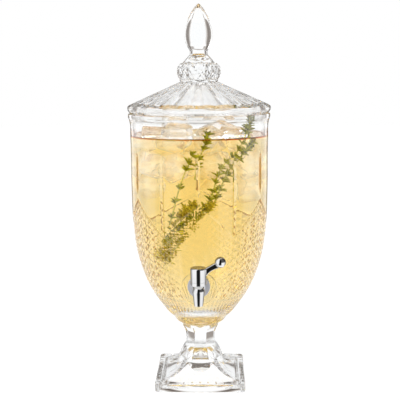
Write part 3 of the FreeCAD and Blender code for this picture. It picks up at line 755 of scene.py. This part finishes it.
def bowl_mass(sizes):
    """The bowl's outside as a closed bmesh, with all its cuts."""
    outline = Outline(smooth_outline([(LIP_RADIUS, LIP_FACE_LOW)] + BOWL_OUTER)[:-1]
                      + smooth_outline(BOWL_BEAD))
    cuts = BowlCuts(outline, sizes)
    lip = [(LIP_RADIUS - LIP_EDGE, LIP_TOP), (LIP_RADIUS - LIP_EDGE * 0.3, LIP_TOP - LIP_EDGE * 0.3),
           (LIP_RADIUS, LIP_TOP - LIP_EDGE)]
    rows = (outline.rows(0.0, cuts.mitre_top - MITRE_START, WALL_STEP)
            + outline.rows(cuts.mitre_top, cuts.peak, MITRE_STEP)
            + outline.rows(cuts.peak, cuts.lattice_low, HALF_ROW / FINE)[1:]
            + outline.rows(cuts.lattice_low, cuts.flute_low, FLUTE_STEP)[1:]
            + outline.rows(cuts.flute_low, outline.lengths[-1], BEAD_STEP)[1:])
    bm = spun(lip + rows, HALF_COLUMNS * FINE)
    for vert in bm.verts:
        radius = math.hypot(vert.co.x, vert.co.y) / MM
        height = vert.co.z / MM
        if height > LIP_FACE_LOW - 0.1 or height < FLUTE_LOW - 1.0:
            continue
        depth = cuts.depth(angle_of(vert.co), outline.length_at(height), radius)
        share = (radius - depth) / radius
        vert.co.x *= share
        vert.co.y *= share

    def cell(centre):
        angle, length = angle_of(centre), outline.length_at(centre.z / MM)
        inside = cuts.zigzag_below(angle) - HALF_ROW < length < cuts.lattice_low
        return cuts.cell(angle, length) if inside else None

    leaning = leaning_faces(bm, cell)
    bmesh.ops.triangulate(bm, faces=leaning[0], quad_method="FIXED")
    bmesh.ops.triangulate(bm, faces=leaning[1], quad_method="ALTERNATE")
    return closed_caps(bm)


def cavity_outline(swell=0.0):
    """The bowl's inside, in millimetres, read downwards to the axis, or a little larger."""
    points = [(radius + (swell if radius else 0.0), height - (swell if height < DRINK_SWELL_LOW else 0.0))
              for radius, height in BOWL_INNER]
    return Outline(smooth_outline(points))


def reshaped(bm, move):
    """Move every point of a turned mesh by a function of its angle, radius and height in millimetres."""
    for vert in bm.verts:
        radius = math.hypot(vert.co.x, vert.co.y) / MM
        if radius < 0.001:
            continue
        new_radius, height = move(angle_of(vert.co), radius, vert.co.z / MM)
        vert.co.x *= new_radius / radius
        vert.co.y *= new_radius / radius
        vert.co.z = height * MM
    return bm


def off_middle(angle, sides, turned_by=0.0):
    """Angle from the middle of the nearest of a number of equal sides."""
    step = FULL_TURN / sides
    return angle - turned_by - step * round((angle - turned_by) / step)


def pyramid():
    """The foot's hollow-sided pyramid, with three shallow panels on each side."""
    low = (PLINTH_SIDE / 2.0 - BORDER_WIDTH, PLINTH_THICK)
    side = smooth_outline([low, PYRAMID_MIDDLE, PYRAMID_TOP], 1.2)
    rows = [(0.0, PLINTH_THICK - 1.0), (low[0], PLINTH_THICK - 1.0)] + side + [(0.0, PYRAMID_TOP[1])]
    bm = spun(rows, FOOT_COLUMNS)
    ridge = FULL_TURN / FOOT_COLUMNS * PANEL_COLUMNS
    start, end = PANEL_RADII

    def move(angle, radius, height):
        turn = off_middle(angle, 4)
        if abs(turn) <= ridge:
            share = 1.0 - (turn / ridge) ** 2
        else:
            share = 1.0 - (2.0 * (abs(turn) - ridge) / (math.pi / 4.0 - ridge) - 1.0) ** 2
        fade = min(1.0, max(0.0, height - PLINTH_THICK) / PANEL_FADE)
        fade *= min(1.0, max(radius - start, 0.0) / (end - start))
        return (radius - PANEL_HOLLOW * share * fade) / math.cos(turn), height

    return closed_caps(reshaped(bm, move))


def stem():
    """The foot's eight-sided stem, flared at both ends."""
    rows = smooth_outline(STEM_FLARE, 1.5) + smooth_outline(STEM_WAIST, 1.5)
    bm = spun([(0.0, STEM_FLARE[0][1] - 1.0), (STEM_FLARE[0][0], STEM_FLARE[0][1] - 1.0)] + rows
              + [(0.0, STEM_WAIST[-1][1])], FOOT_COLUMNS)
    start, end = STEM_ROUND

    def move(angle, radius, height):
        round_share = min(1.0, max(0.0, (height - start) / (end - start)))
        flat = 1.0 / math.cos(off_middle(angle, STEM_SIDES))
        return radius * (flat + (1.0 - flat) * round_share), height

    return closed_caps(reshaped(bm, move))


def plinth():
    """The foot's square slab with rounded corners and edges."""
    bm = bmesh.new()
    bmesh.ops.create_cube(bm, size=1.0)
    bmesh.ops.scale(bm, vec=(PLINTH_SIDE * MM, PLINTH_SIDE * MM, PLINTH_THICK * MM), verts=bm.verts)
    bmesh.ops.translate(bm, vec=(0.0, 0.0, PLINTH_THICK / 2.0 * MM), verts=bm.verts)
    upright = [e for e in bm.edges if abs(e.verts[0].co.z - e.verts[1].co.z) > MM]
    bmesh.ops.bevel(bm, geom=upright, offset=PLINTH_CORNER * MM, affect="EDGES", segments=8,
                    profile=0.5, material=-1)
    level = [e for e in bm.edges if abs(e.verts[0].co.z - e.verts[1].co.z) < 0.1 * MM]
    bmesh.ops.bevel(bm, geom=level, offset=PLINTH_EDGE * MM, affect="EDGES", segments=4,
                    profile=0.5, material=-1)
    return bm


def foot_hollow():
    """The space that the press leaves under the foot: square below, and domed in the stem."""
    dome = Outline(smooth_outline(list(reversed(HOLLOW_DOME))))
    wall = Outline(list(reversed(smooth_outline(HOLLOW_WALL))))
    top = HOLLOW_DOME[-1][1]
    low = HOLLOW_WALL[0][1]
    rows = [(HOLLOW_CORE, top - step) for step in HOLLOW_STEPS] + [(HOLLOW_CORE, low), (0.0, low)]
    bm = spun([(0.0, top)] + rows, FOOT_COLUMNS)

    def move(angle, radius, height):
        square = wall.at(wall.length_at(height))[0] / math.cos(off_middle(angle, 4))
        return min(square, dome.at(dome.length_at(height))[0]), height

    return closed_caps(reshaped(bm, move))


def border_notches():
    """Prisms that part the plinth's border into a ladder of short blocks."""
    bm = bmesh.new()
    pitch = (PLINTH_SIDE - 2.0 * BORDER_WIDTH) / BORDER_CELLS
    for side in range(4):
        for index in range(BORDER_CELLS + 1):
            along = (index - BORDER_CELLS / 2.0) * pitch
            made = bmesh.ops.create_cone(bm, cap_ends=True, segments=4, radius1=NOTCH_RADIUS * MM,
                                         radius2=NOTCH_RADIUS * MM, depth=(BORDER_WIDTH - 1.0) * MM)
            lay = Matrix.Rotation(math.radians(90.0), 4, "X")
            outwards = (PLINTH_SIDE - BORDER_WIDTH) / 2.0 + NOTCH_SHIFT[0]
            move = Matrix.Translation((along * MM, -outwards * MM, (PLINTH_THICK + NOTCH_SHIFT[1]) * MM))
            turn = Matrix.Rotation(FULL_TURN * side / 4.0, 4, "Z")
            bmesh.ops.transform(bm, matrix=turn @ move @ lay, verts=made["verts"])
    return bm


class DISPENSER_OT_bowl(bpy.types.Operator):
    """Make the cut-glass bowl with its tap boss, stem and foot, which are one piece of glass"""

    bl_idname = "dispenser.bowl"
    bl_label = "Bowl and foot"

    def execute(self, context):
        sizes = context.scene.dispenser_sizes
        boss = placed("boss", level_rod(BOSS_RADIUS, BOSS_FACE, BOSS_FACE + BOSS_DEPTH, BOSS_HEIGHT,
                                        columns=BOSS_COLUMNS, edge=BOSS_EDGE))
        inside = cavity_outline()
        rows = inside.rows(0.0, inside.lengths[-1], TURNED_STEP)
        mouth = [(rows[0][0], LIP_TOP + OVERSHOOT)]
        cavity = placed("cavity", closed_caps(spun(mouth + rows, TURNED_COLUMNS)))
        front = BOSS_FACE - OVERSHOOT
        seat = placed("seat", level_rod(SEAT_RADIUS, front, SEAT_FACE, SHANK_HEIGHT))
        pocket = placed("pocket", level_rod(SEAT_RADIUS, SEAT_FACE, SEAT_FACE + SEAT_DEPTH, SHANK_HEIGHT))
        hole = placed("hole", level_rod(HOLE_RADIUS, front, SEAT_FACE + OVERSHOOT, SHANK_HEIGHT))
        carved(cavity, [("DIFFERENCE", seat)])
        glass = placed("bowl_and_foot", bowl_mass(sizes), [clear_glass()])
        carved(glass, [("UNION", boss), ("DIFFERENCE", cavity), ("DIFFERENCE", pocket),
                       ("DIFFERENCE", hole)])
        foot = placed("foot", plinth())
        carved(foot, [("DIFFERENCE", placed("notches", border_notches())),
                      ("UNION", placed("pyramid", pyramid())),
                      ("UNION", placed("web", closed_caps(spun(WEB, FOOT_COLUMNS)))),
                      ("UNION", placed("collar", closed_caps(spun(COLLAR, FOOT_COLUMNS)))),
                      ("UNION", placed("stem", stem())),
                      ("DIFFERENCE", placed("foot_hollow", foot_hollow()))])
        carved(glass, [("UNION", foot)])
        shade(glass, BOWL_CREASE)
        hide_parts("glass_bowl", "pedestal_foot")
        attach(glass, "dispenser")
        return {"FINISHED"}


def lid_mass():
    """The lid as a closed bmesh: fluted cone, rounded rim, centring ring and hollow underside."""
    (top_radius, top_height), (low_radius, low_height) = LID_CONE_TOP, LID_CONE_LOW
    slope = (top_height - low_height) / (low_radius - top_radius)

    def cone(radius):
        return low_height + slope * (low_radius - radius)

    outer = Outline([LID_CONE_TOP, LID_CONE_LOW])
    rows = [(0.0, top_height)] + outer.rows(0.0, outer.lengths[-1], LID_STEP)
    rows += smooth_outline(LID_RIM, 0.5)[1:] + LID_RING
    rows += [(LID_RING[-1][0], cone(LID_RING[-1][0]) - LID_WALL)] + LID_CROWN
    bm = spun(rows, LID_FLUTES * LID_FLUTE_COLUMNS)
    step = FULL_TURN / LID_FLUTES

    def move(angle, radius, height):
        across = off_middle(angle, LID_FLUTES) / (step / 2.0) / LID_FLUTE_SHARE
        underneath = height < max(LIP_TOP + 0.2, cone(radius) - LID_WALL + 0.1)
        if underneath or radius < top_radius - 0.1 or abs(across) >= 1.0:
            return radius, height
        width = min(1.0, radius / low_radius)
        depth = LID_FLUTE_DEPTH * width * (1.0 - across * across)
        return radius, min(height, cone(radius) - depth)

    return closed_caps(reshaped(bm, move))


def finial_mass():
    """Knop cut with small diamonds, shoulder, ringed neck and six-sided bud, as a closed bmesh."""
    knop = Outline(list(reversed(smooth_outline(KNOP_OUTLINE))))
    cuts = 2 * KNOP_DIAMONDS
    bands = max(2, round(knop.lengths[-1] / KNOP_ROW))
    row = knop.lengths[-1] / bands
    knop_rows = list(reversed(knop.rows(0.0, knop.lengths[-1], row / FINE)))
    bud = smooth_outline(BUD_OUTLINE, 1.6)
    rows = (FINIAL_FOOT + knop_rows + [KNOP_TOP] + smooth_outline(SHOULDER, 1.5) + NECK[:-1] + bud
            + [BUD_TIP])
    bm = spun(rows, cuts * FINE)

    def cell(angle, height):
        on_knop = KNOP_OUTLINE[0][1] <= height <= KNOP_OUTLINE[-1][1]
        return (angle / FULL_TURN * cuts, knop.length_at(height) / row) if on_knop else None

    def move(angle, radius, height):
        place = cell(angle, height)
        if place:
            return radius - KNOP_DEPTH * diamond_cut(*place), height
        above = height - NECK[-1][1]
        if above > BUD_ROUND[0]:
            share = BUD_FLATNESS * min(1.0, above / BUD_ROUND[1])
            flat = math.cos(math.pi / BUD_PANELS) / math.cos(off_middle(angle, BUD_PANELS))
            return radius * (1.0 + (flat - 1.0) * share), height
        return radius, height

    reshaped(bm, move)
    leaning = leaning_faces(bm, lambda centre: cell(angle_of(centre), centre.z / MM))
    bmesh.ops.triangulate(bm, faces=leaning[1], quad_method="ALTERNATE")
    return closed_caps(bm)


class DISPENSER_OT_lid(bpy.types.Operator):
    """Make the fluted lid and its finial, which are one piece of glass"""

    bl_idname = "dispenser.lid"
    bl_label = "Lid and finial"

    def execute(self, context):
        lid = placed("lid_and_finial", lid_mass(), [clear_glass()])
        carved(lid, [("UNION", placed("finial", finial_mass()))])
        shade(lid, LID_CREASE)
        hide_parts("lid_cover", "lid_finial")
        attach(lid, "lid")
        return {"FINISHED"}


class DISPENSER_OT_drink(bpy.types.Operator):
    """Fill the bowl with drink"""

    bl_idname = "dispenser.drink"
    bl_label = "Drink"

    def execute(self, context):
        level = context.scene.dispenser_sizes.drink_level / MM
        inside = cavity_outline(swell=DRINK_SWELL)
        start = inside.length_at(level)
        rim = inside.at(start)[0]
        rows = [(rim - inwards, level - down) for inwards, down in DRINK_RIM]
        rows += [inside.at(start)] + inside.rows(start + MENISCUS, inside.lengths[-1], TURNED_STEP)
        bm = closed_caps(spun(rows, TURNED_COLUMNS))
        # Painted shade: the meniscus band next to the glass takes a darker golden tint
        for face in bm.faces:
            centre = face.calc_center_median() / MM
            outside = math.hypot(centre.x, centre.y) > rim - DRINK_RIM[0][0]
            face.material_index = 1 if outside and centre.z > level - MENISCUS else 0
        colours = context.scene.dispenser_colours
        drink = placed("drink", bm, [
            drink_finish("drink_finish", colours, (1.0, 0.99, 0.97), (1.0, 1.0, 1.0)),
            drink_finish("drink_edge_shade_finish", colours, (0.42, 0.36, 0.02), (0.50, 0.43, 0.03))])
        shade(drink, DRINK_CREASE)
        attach(drink, "dispenser")
        return {"FINISHED"}


def ice_finish(name, ior, veil, glow, streak_shade):
    """Ice with cloudy cores and cracks, its streaks tinted with painted shade and, where it has one, a
    painted glow for the light its cores scatter; the refraction is against what is round it.
    """
    finish = Finish(name, {"IOR": ior, "Roughness": 0.03})
    finish.tint(finish.ripple(60.0, 0.5, 0.0012, detail=3.5, stretch=2.2), streak_shade, (1.0, 1.0, 1.0))
    cloud = finish.add("ShaderNodeTexNoise", scale=50.0, detail=3.0)
    finish.feed(finish.place(), cloud.inputs["Vector"])
    clear = finish.span(cloud.outputs["Fac"], 0.35, 0.75, 1.0, 1.0 - veil)
    finish.feed(clear, finish.shader.inputs["Transmission Weight"])
    if glow:
        finish.fill("ShaderNodeEmission", ICE_PAINTED_GLOW, "Strength", glow)
    return finish.material


class DISPENSER_OT_ice(bpy.types.Operator):
    """Float ice cubes in the drink"""

    bl_idname = "dispenser.ice"
    bl_label = "Ice"

    def execute(self, context):
        level = context.scene.dispenser_sizes.drink_level
        # The streak colours are painted shade, more golden under the drink, and the ice under the drink
        # also gives off a painted glow
        above = ice_finish("ice_above_finish", 1.31, 0.3, 0.0, (0.95, 0.90, 0.84))
        below = ice_finish("ice_below_finish", 1.05, 0.25, ICE_GLOW, (0.90, 0.82, 0.66))
        chance = random.Random(ICE_SEED)
        for index, (centre, side) in enumerate(ICE):
            bm = bmesh.new()
            bmesh.ops.create_cube(bm, size=side * MM)
            bmesh.ops.bevel(bm, geom=list(bm.edges), offset=side * ICE_EDGE * MM, affect="EDGES",
                            segments=3, profile=0.5, material=-1)
            bmesh.ops.subdivide_edges(bm, edges=list(bm.edges), cuts=2, use_grid_fill=True)
            for vert in bm.verts:
                dent = noise.noise(vert.co * ICE_DENT_SCALE + Vector((index * ICE_DENT_SHIFT, 0.0, 0.0)))
                vert.co *= 1.0 + ICE_DENT * dent
            turn = [chance.uniform(-ICE_TURN, ICE_TURN) for _ in range(3)]
            spin = (Matrix.Rotation(turn[0], 4, "X") @ Matrix.Rotation(turn[1], 4, "Y")
                    @ Matrix.Rotation(turn[2] * 2.0, 4, "Z"))
            bmesh.ops.transform(bm, matrix=Matrix.Translation(Vector(centre) * MM) @ spin, verts=bm.verts)
            bmesh.ops.bisect_plane(bm, geom=list(bm.verts) + list(bm.edges) + list(bm.faces),
                                   plane_co=(0, 0, level), plane_no=(0, 0, 1), dist=1e-6)
            for face in bm.faces:
                face.material_index = 0 if face.calc_center_median().z > level else 1
            cube = placed("ice_%02d" % (index + 1), bm, [above, below])
            shade(cube, ICE_CREASE)
            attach(cube, "dispenser")
        return {"FINISHED"}


def leaf_finish(name, low, high, level):
    """Herb leaf, darker above the drink."""
    finish = plant_finish(name, low, high, 700.0)
    _, height, _ = finish.bearing(finish.place())
    finish.retint(finish.span(height, level, level + DARKER_SPAN, 0.0, 0.5), 0.01)
    return finish.material


def stalk_line(points):
    """A smooth line through a stem's points, in metres."""
    curve = bpy.data.curves.new("stalk", "CURVE")
    curve.dimensions = "3D"
    spline = curve.splines.new("NURBS")
    spline.points.add(len(points) - 1)
    for place, point in zip(spline.points, points):
        place.co = (*(Vector(point) * MM), 1.0)
    spline.order_u = 3
    spline.use_endpoint_u = True
    spline.resolution_u = 8
    holder = bpy.data.objects.new("stalk", curve)
    bpy.context.scene.collection.objects.link(holder)
    bpy.context.view_layer.update()
    mesh = bpy.data.meshes.new_from_object(holder)
    line = [vert.co.copy() for vert in mesh.vertices]
    bpy.data.objects.remove(holder)
    return line


def leaf_blank():
    """A small folded leaf one unit long along Z, closed and a little thick, as a mesh."""
    bm = bmesh.new()
    bmesh.ops.create_uvsphere(bm, u_segments=6, v_segments=5, radius=1.0)
    for vert in bm.verts:
        x, y, z = vert.co
        vert.co = (x * (1.0 - 0.35 * z) / 2.0, y * 0.10 + 0.45 * abs(x) - 0.12 * (z + 1.0) ** 2,
                   (z + 1.0) / 2.0)
    mesh = bpy.data.meshes.new("leaf")
    bm.to_mesh(mesh)
    bm.free()
    return mesh


def leaf(bm, blank, base, along, facing, length, width):
    """Add one leaf to a bmesh, along a direction and facing another."""
    across = along.cross(facing).normalized()
    shape = Matrix((across * width, facing * width, along * length)).transposed().to_4x4()
    copy = blank.copy()
    copy.transform(Matrix.Translation(base) @ shape)
    bm.from_mesh(copy)
    bpy.data.meshes.remove(copy)


class DISPENSER_OT_herbs(bpy.types.Operator):
    """Stand sprigs of thyme in the drink"""

    bl_idname = "dispenser.herbs"
    bl_label = "Herbs"

    def execute(self, context):
        level = context.scene.dispenser_sizes.drink_level
        leaves = {
            "green": leaf_finish("green_leaf_finish", (0.11, 0.115, 0.004), (0.56, 0.52, 0.02), level),
            "golden": leaf_finish("golden_leaf_finish", (0.24, 0.18, 0.004), (0.84, 0.66, 0.04), level),
        }
        stalk = plant_finish("stalk_finish", (0.42, 0.38, 0.05), (0.62, 0.55, 0.12), 400.0).material
        chance = random.Random(HERB_SEED)
        blank = leaf_blank()
        for name, (colour, spacing, points) in SPRIGS.items():
            line = stalk_line(points)
            bm = bmesh.new()
            self.stalk(bm, line)
            self.leaves(bm, line, chance, blank, spacing)
            bmesh.ops.recalc_face_normals(bm, faces=bm.faces)
            sprig = placed(name, bm, [leaves[colour], stalk])
            shade(sprig, HERB_CREASE)
            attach(sprig, "dispenser")
        return {"FINISHED"}

    def stalk(self, bm, line):
        """Round stalk that thickens away from the tip."""
        rings = []
        for index, point in enumerate(line):
            ahead = line[min(index + 1, len(line) - 1)] - line[max(index - 1, 0)]
            turn = ahead.to_track_quat("Z", "Y").to_matrix().to_4x4()
            radius = (STALK_RADIUS[0] + STALK_RADIUS[1] * index / len(line)) * MM
            made = bmesh.ops.create_circle(bm, cap_ends=False, segments=6, radius=radius,
                                           matrix=Matrix.Translation(point) @ turn)
            rings.append(made["verts"])
        edges = [[e for e in {edge for vert in ring for edge in vert.link_edges}] for ring in rings]
        for near, far in zip(edges, edges[1:]):
            bmesh.ops.bridge_loops(bm, edges=near + far)
        closed_caps(bm)
        for face in bm.faces:
            face.material_index = 1

    def leaves(self, bm, line, chance, blank, spacing):
        """Whorls of leaves up the stalk, each turned from the last, closer together at the tip."""
        walked, index, turn = 0.0, 0, 0.0
        total = sum((b - a).length for a, b in zip(line, line[1:]))
        place = FIRST_WHORL * MM
        while place < total - BARE_END * MM:
            while index < len(line) - 2 and walked + (line[index + 1] - line[index]).length < place:
                walked += (line[index + 1] - line[index]).length
                index += 1
            ahead = (line[index + 1] - line[index]).normalized()
            point = line[index] + ahead * (place - walked)
            self.whorl(bm, point, ahead, turn, chance, blank)
            turn += math.pi / 2.0 + chance.uniform(-WHORL_TURN, WHORL_TURN)
            near_tip = TIP_SPACING if place < TIP_LENGTH * MM else 1.0
            place += spacing * MM * near_tip * chance.uniform(*SPACING_RANGE)

    def whorl(self, bm, point, ahead, turn, chance, blank):
        """Two pairs of large leaves with a tuft of small ones above them."""
        away = -ahead
        side = ahead.orthogonal().normalized()
        for number in range(8):
            rises, lengths, shifts = LARGE_LEAF if number < 4 else SMALL_LEAF
            spin = turn + FULL_TURN * number / 4.0 + chance.uniform(-LEAF_SPREAD, LEAF_SPREAD)
            out = Matrix.Rotation(spin, 3, ahead) @ side
            along = (out + away * chance.uniform(*rises)).normalized()
            facing = (away - along * away.dot(along)).normalized()
            facing = Matrix.Rotation(chance.uniform(-LEAF_TWIST, LEAF_TWIST), 3, along) @ facing
            length = chance.uniform(*lengths) * MM
            base = point + away * chance.uniform(*shifts) * MM
            leaf(bm, blank, base, along, facing, length, length * chance.uniform(*LEAF_WIDTH))


TAP_NODES = {"polished_chrome": ("tap_body", "lever_hood", "lever_arm", "lever_ball", "cover_disc"),
             "stainless_steel": ("nut_washer", "shank_nut", "bonnet_nut", "cap_screw", "stop_pin"),
             "silicone_seal": ("outer_gasket", "inner_gasket"), "ring_rubber": ("plug_o_rings",),
             "acetal": ("thrust_washer", "valve_plug")}


class DISPENSER_OT_tap(bpy.types.Operator):
    """Give the tap's pieces their metal, rubber and plastic"""

    bl_idname = "dispenser.tap"
    bl_label = "Tap"

    def execute(self, context):
        finishes = {
            "polished_chrome": metal_finish("chrome_finish", (0.90, 0.90, 0.91), 0.05, 60.0),
            "stainless_steel": metal_finish("steel_finish", (0.62, 0.61, 0.59), 0.22, 300.0, 0.2),
            "silicone_seal": moulded_finish("seal_finish", (0.62, 0.62, 0.60), (0.70, 0.70, 0.68), 0.45),
            "ring_rubber": moulded_finish("ring_finish", (0.012, 0.012, 0.012), (0.03, 0.03, 0.03), 0.5),
            "acetal": moulded_finish("acetal_finish", (0.70, 0.69, 0.66), (0.78, 0.77, 0.74), 0.35),
        }
        for slot, names in TAP_NODES.items():
            for name in names:
                self.dress(name, finishes[slot], slot)
        satin = metal_finish("satin_chrome_finish", (0.84, 0.84, 0.88), 0.45, 90.0, metallic=0.5)
        self.dress("escutcheon", satin, "polished_chrome")
        return {"FINISHED"}

    def dress(self, name, finish, slot):
        """Give one CAD node its finish."""
        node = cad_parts[name]
        node.data.materials.clear()
        node.data.materials.append(finish)


def room_for_glass(world):
    """White background; metal and glass also pick up dark flags, other surfaces a plain level."""
    world.use_nodes = True
    room = Shading(world.node_tree)
    room.tree.nodes.clear()
    back = room.add("ShaderNodeBackground", strength=1.0)
    room.feed(back.outputs["Background"], room.add("ShaderNodeOutputWorld").inputs["Surface"])
    turn, rise, side = room.bearing(room.place("Generated"))
    path = room.add("ShaderNodeLightPath").outputs
    dark = room.between(room.ramp(side, DARK_SIDE), room.ramp(rise, METAL_SKY), 1.0)
    metal = room.scaled(room.ramp(turn, METAL_ROUND), dark)
    gloss = room.scaled(room.ramp(turn, GLOSS_ROUND), GLOSS_LEVEL)
    clear = room.scaled(room.ramp(rise, CLEAR_SKY), room.ramp(turn, CLEAR_ROUND))
    deep = room.scaled(room.ramp(rise, DEEP_SKY), room.ramp(turn, DEEP_ROUND))
    through = room.through_glass(path, clear, room.scaled(deep, DEEP_LEVEL))
    mirrored = room.between(path["Is Singular Ray"], metal, gloss)
    plain = room.between(path["Is Glossy Ray"], WORLD_LEVEL, mirrored)
    room.feed(room.by_ray(path, plain, through, WORLD_LEVEL, 1.0), back.inputs["Color"])


def floor_finish():
    """White floor that keeps a shadow, with the flags showing only far off, in glass and metal."""
    floor = Finish("floor_finish", {"Roughness": 0.9, "Specular IOR Level": 0.0, "Emission Strength": 1.0})
    place = floor.place()
    turn, _, _ = floor.bearing(place)
    distance = floor.add("ShaderNodeVectorMath", operation="LENGTH")
    floor.feed(place, distance.inputs[0])
    far = distance.outputs["Value"]
    path = floor.add("ShaderNodeLightPath").outputs
    beyond = floor.span(far, *TABLE_REACH)
    metal = floor.between(beyond, 1.0, floor.ramp(turn, METAL_ROUND))
    gloss = floor.scaled(floor.ramp(turn, GLOSS_ROUND), GLOSS_LEVEL)
    mirrored = floor.between(path["Is Singular Ray"], metal, floor.between(beyond, 1.0, gloss))
    near = floor.span(far, *NEAR_TABLE)
    clear = floor.between(near, floor.ramp(turn, NEAR_ROUND), floor.ramp(turn, CLEAR_ROUND))
    # Painted shadow: seen through glass, the table is darker in rings under the plinth's rim
    clear = floor.between(floor.span(far, *CLEAR_TABLE), floor.ramp(far, UNDER_FOOT_SHADOW), clear)
    # Painted shadow: seen through the full bowl, the table darkens towards the foot
    table = floor.ramp(floor.span(far, 0.0, DEEP_TABLE_SPAN), DEEP_TABLE_SHADOW)
    deep = floor.scaled(floor.scaled(table, floor.ramp(turn, DEEP_ROUND)), DEEP_LEVEL)
    deep = floor.between(floor.span(far, *DEEP_FAR), deep, 1.0)
    through = floor.through_glass(path, clear, deep)
    plain = floor.between(path["Is Glossy Ray"], 1.0, mirrored)
    shown = floor.by_ray(path, plain, through, 1.0, FLOOR_GLOW)
    floor.feed(shown, floor.shader.inputs["Emission Color"])
    floor.feed(floor.scaled(path["Is Camera Ray"], FLOOR_TONE), floor.shader.inputs["Base Color"])
    return floor.material


class DISPENSER_OT_stage(bpy.types.Operator):
    """Set up the floor, the light and the camera"""

    bl_idname = "dispenser.stage"
    bl_label = "Stage"

    def execute(self, context):
        scene = context.scene
        scene.view_settings.view_transform = "Standard"
        for limit in ("max_bounces", "glossy_bounces", "transmission_bounces"):
            setattr(scene.cycles, limit, LIGHT_BOUNCES)
        world = bpy.data.worlds.new("studio")
        scene.world = world
        room_for_glass(world)
        bm = bmesh.new()
        bmesh.ops.create_grid(bm, x_segments=1, y_segments=1, size=FLOOR_REACH)
        bmesh.ops.translate(bm, vec=(0.0, 0.0, -FLOOR_GAP), verts=bm.verts)
        floor = placed("floor", bm)
        floor.data.materials.append(floor_finish())
        lamp = bpy.data.lights.new("key", "AREA")
        lamp.energy = KEY_POWER
        lamp.size = KEY_SIZE
        key = bpy.data.objects.new("key", lamp)
        key.location = KEY_PLACE
        key.rotation_euler = (Vector(KEY_AIM) - key.location).to_track_quat("-Z", "Y").to_euler()
        key.visible_glossy = False
        scene.collection.objects.link(key)
        self.camera(scene)
        return {"FINISHED"}

    def camera(self, scene):
        """Stand the camera where the photograph was taken from."""
        data = bpy.data.cameras.new("camera")
        data.lens = LENS
        data.sensor_width = SENSOR
        data.shift_x = VIEW_OFFSET[0] / PHOTO_SIZE
        data.shift_y = VIEW_OFFSET[1] / PHOTO_SIZE
        data.clip_start, data.clip_end = VIEW_CLIP
        camera = bpy.data.objects.new("camera", data)
        aim = Vector((0.0, 0.0, VIEW_HEIGHT))
        back = Vector((math.sin(VIEW_TURN) * math.cos(VIEW_PITCH),
                       -math.cos(VIEW_TURN) * math.cos(VIEW_PITCH), math.sin(VIEW_PITCH)))
        turn = (-back).to_track_quat("-Z", "Y").to_matrix().to_4x4()
        camera.matrix_world = (Matrix.Translation(aim + back * VIEW_DISTANCE) @ turn
                               @ Matrix.Rotation(VIEW_ROLL, 4, "Z"))
        scene.collection.objects.link(camera)
        scene.camera = camera


OPERATORS = (DISPENSER_OT_stage, DISPENSER_OT_bowl, DISPENSER_OT_lid, DISPENSER_OT_drink,
             DISPENSER_OT_ice, DISPENSER_OT_herbs, DISPENSER_OT_tap)


class DISPENSER_PT_workshop(bpy.types.Panel):
    """Lists the dispenser's pieces in the order that they are made"""

    bl_idname = "DISPENSER_PT_workshop"
    bl_label = "Glass Dispenser"
    bl_space_type = "VIEW_3D"
    bl_region_type = "UI"
    bl_category = "Dispenser"

    def draw(self, context):
        layout = self.layout
        sizes = context.scene.dispenser_sizes
        colours = context.scene.dispenser_colours
        for name in ("drink_level", "mitre_depth", "diamond_depth"):
            layout.prop(sizes, name)
        for name in ("drink", "drink_strength"):
            layout.prop(colours, name)
        for operator in OPERATORS:
            layout.operator(operator.bl_idname)


CLASSES = (DispenserSizes, DispenserColours) + OPERATORS + (DISPENSER_PT_workshop,)


def register():
    for each in CLASSES:
        bpy.utils.register_class(each)
    bpy.types.Scene.dispenser_sizes = PointerProperty(type=DispenserSizes)
    bpy.types.Scene.dispenser_colours = PointerProperty(type=DispenserColours)


def unregister():
    del bpy.types.Scene.dispenser_colours
    del bpy.types.Scene.dispenser_sizes
    for each in reversed(CLASSES):
        bpy.utils.unregister_class(each)


def main():
    register()
    for operator in OPERATORS:
        group, action = operator.bl_idname.split(".")
        getattr(getattr(bpy.ops, group), action)()


if __name__ == "__main__":
    main()
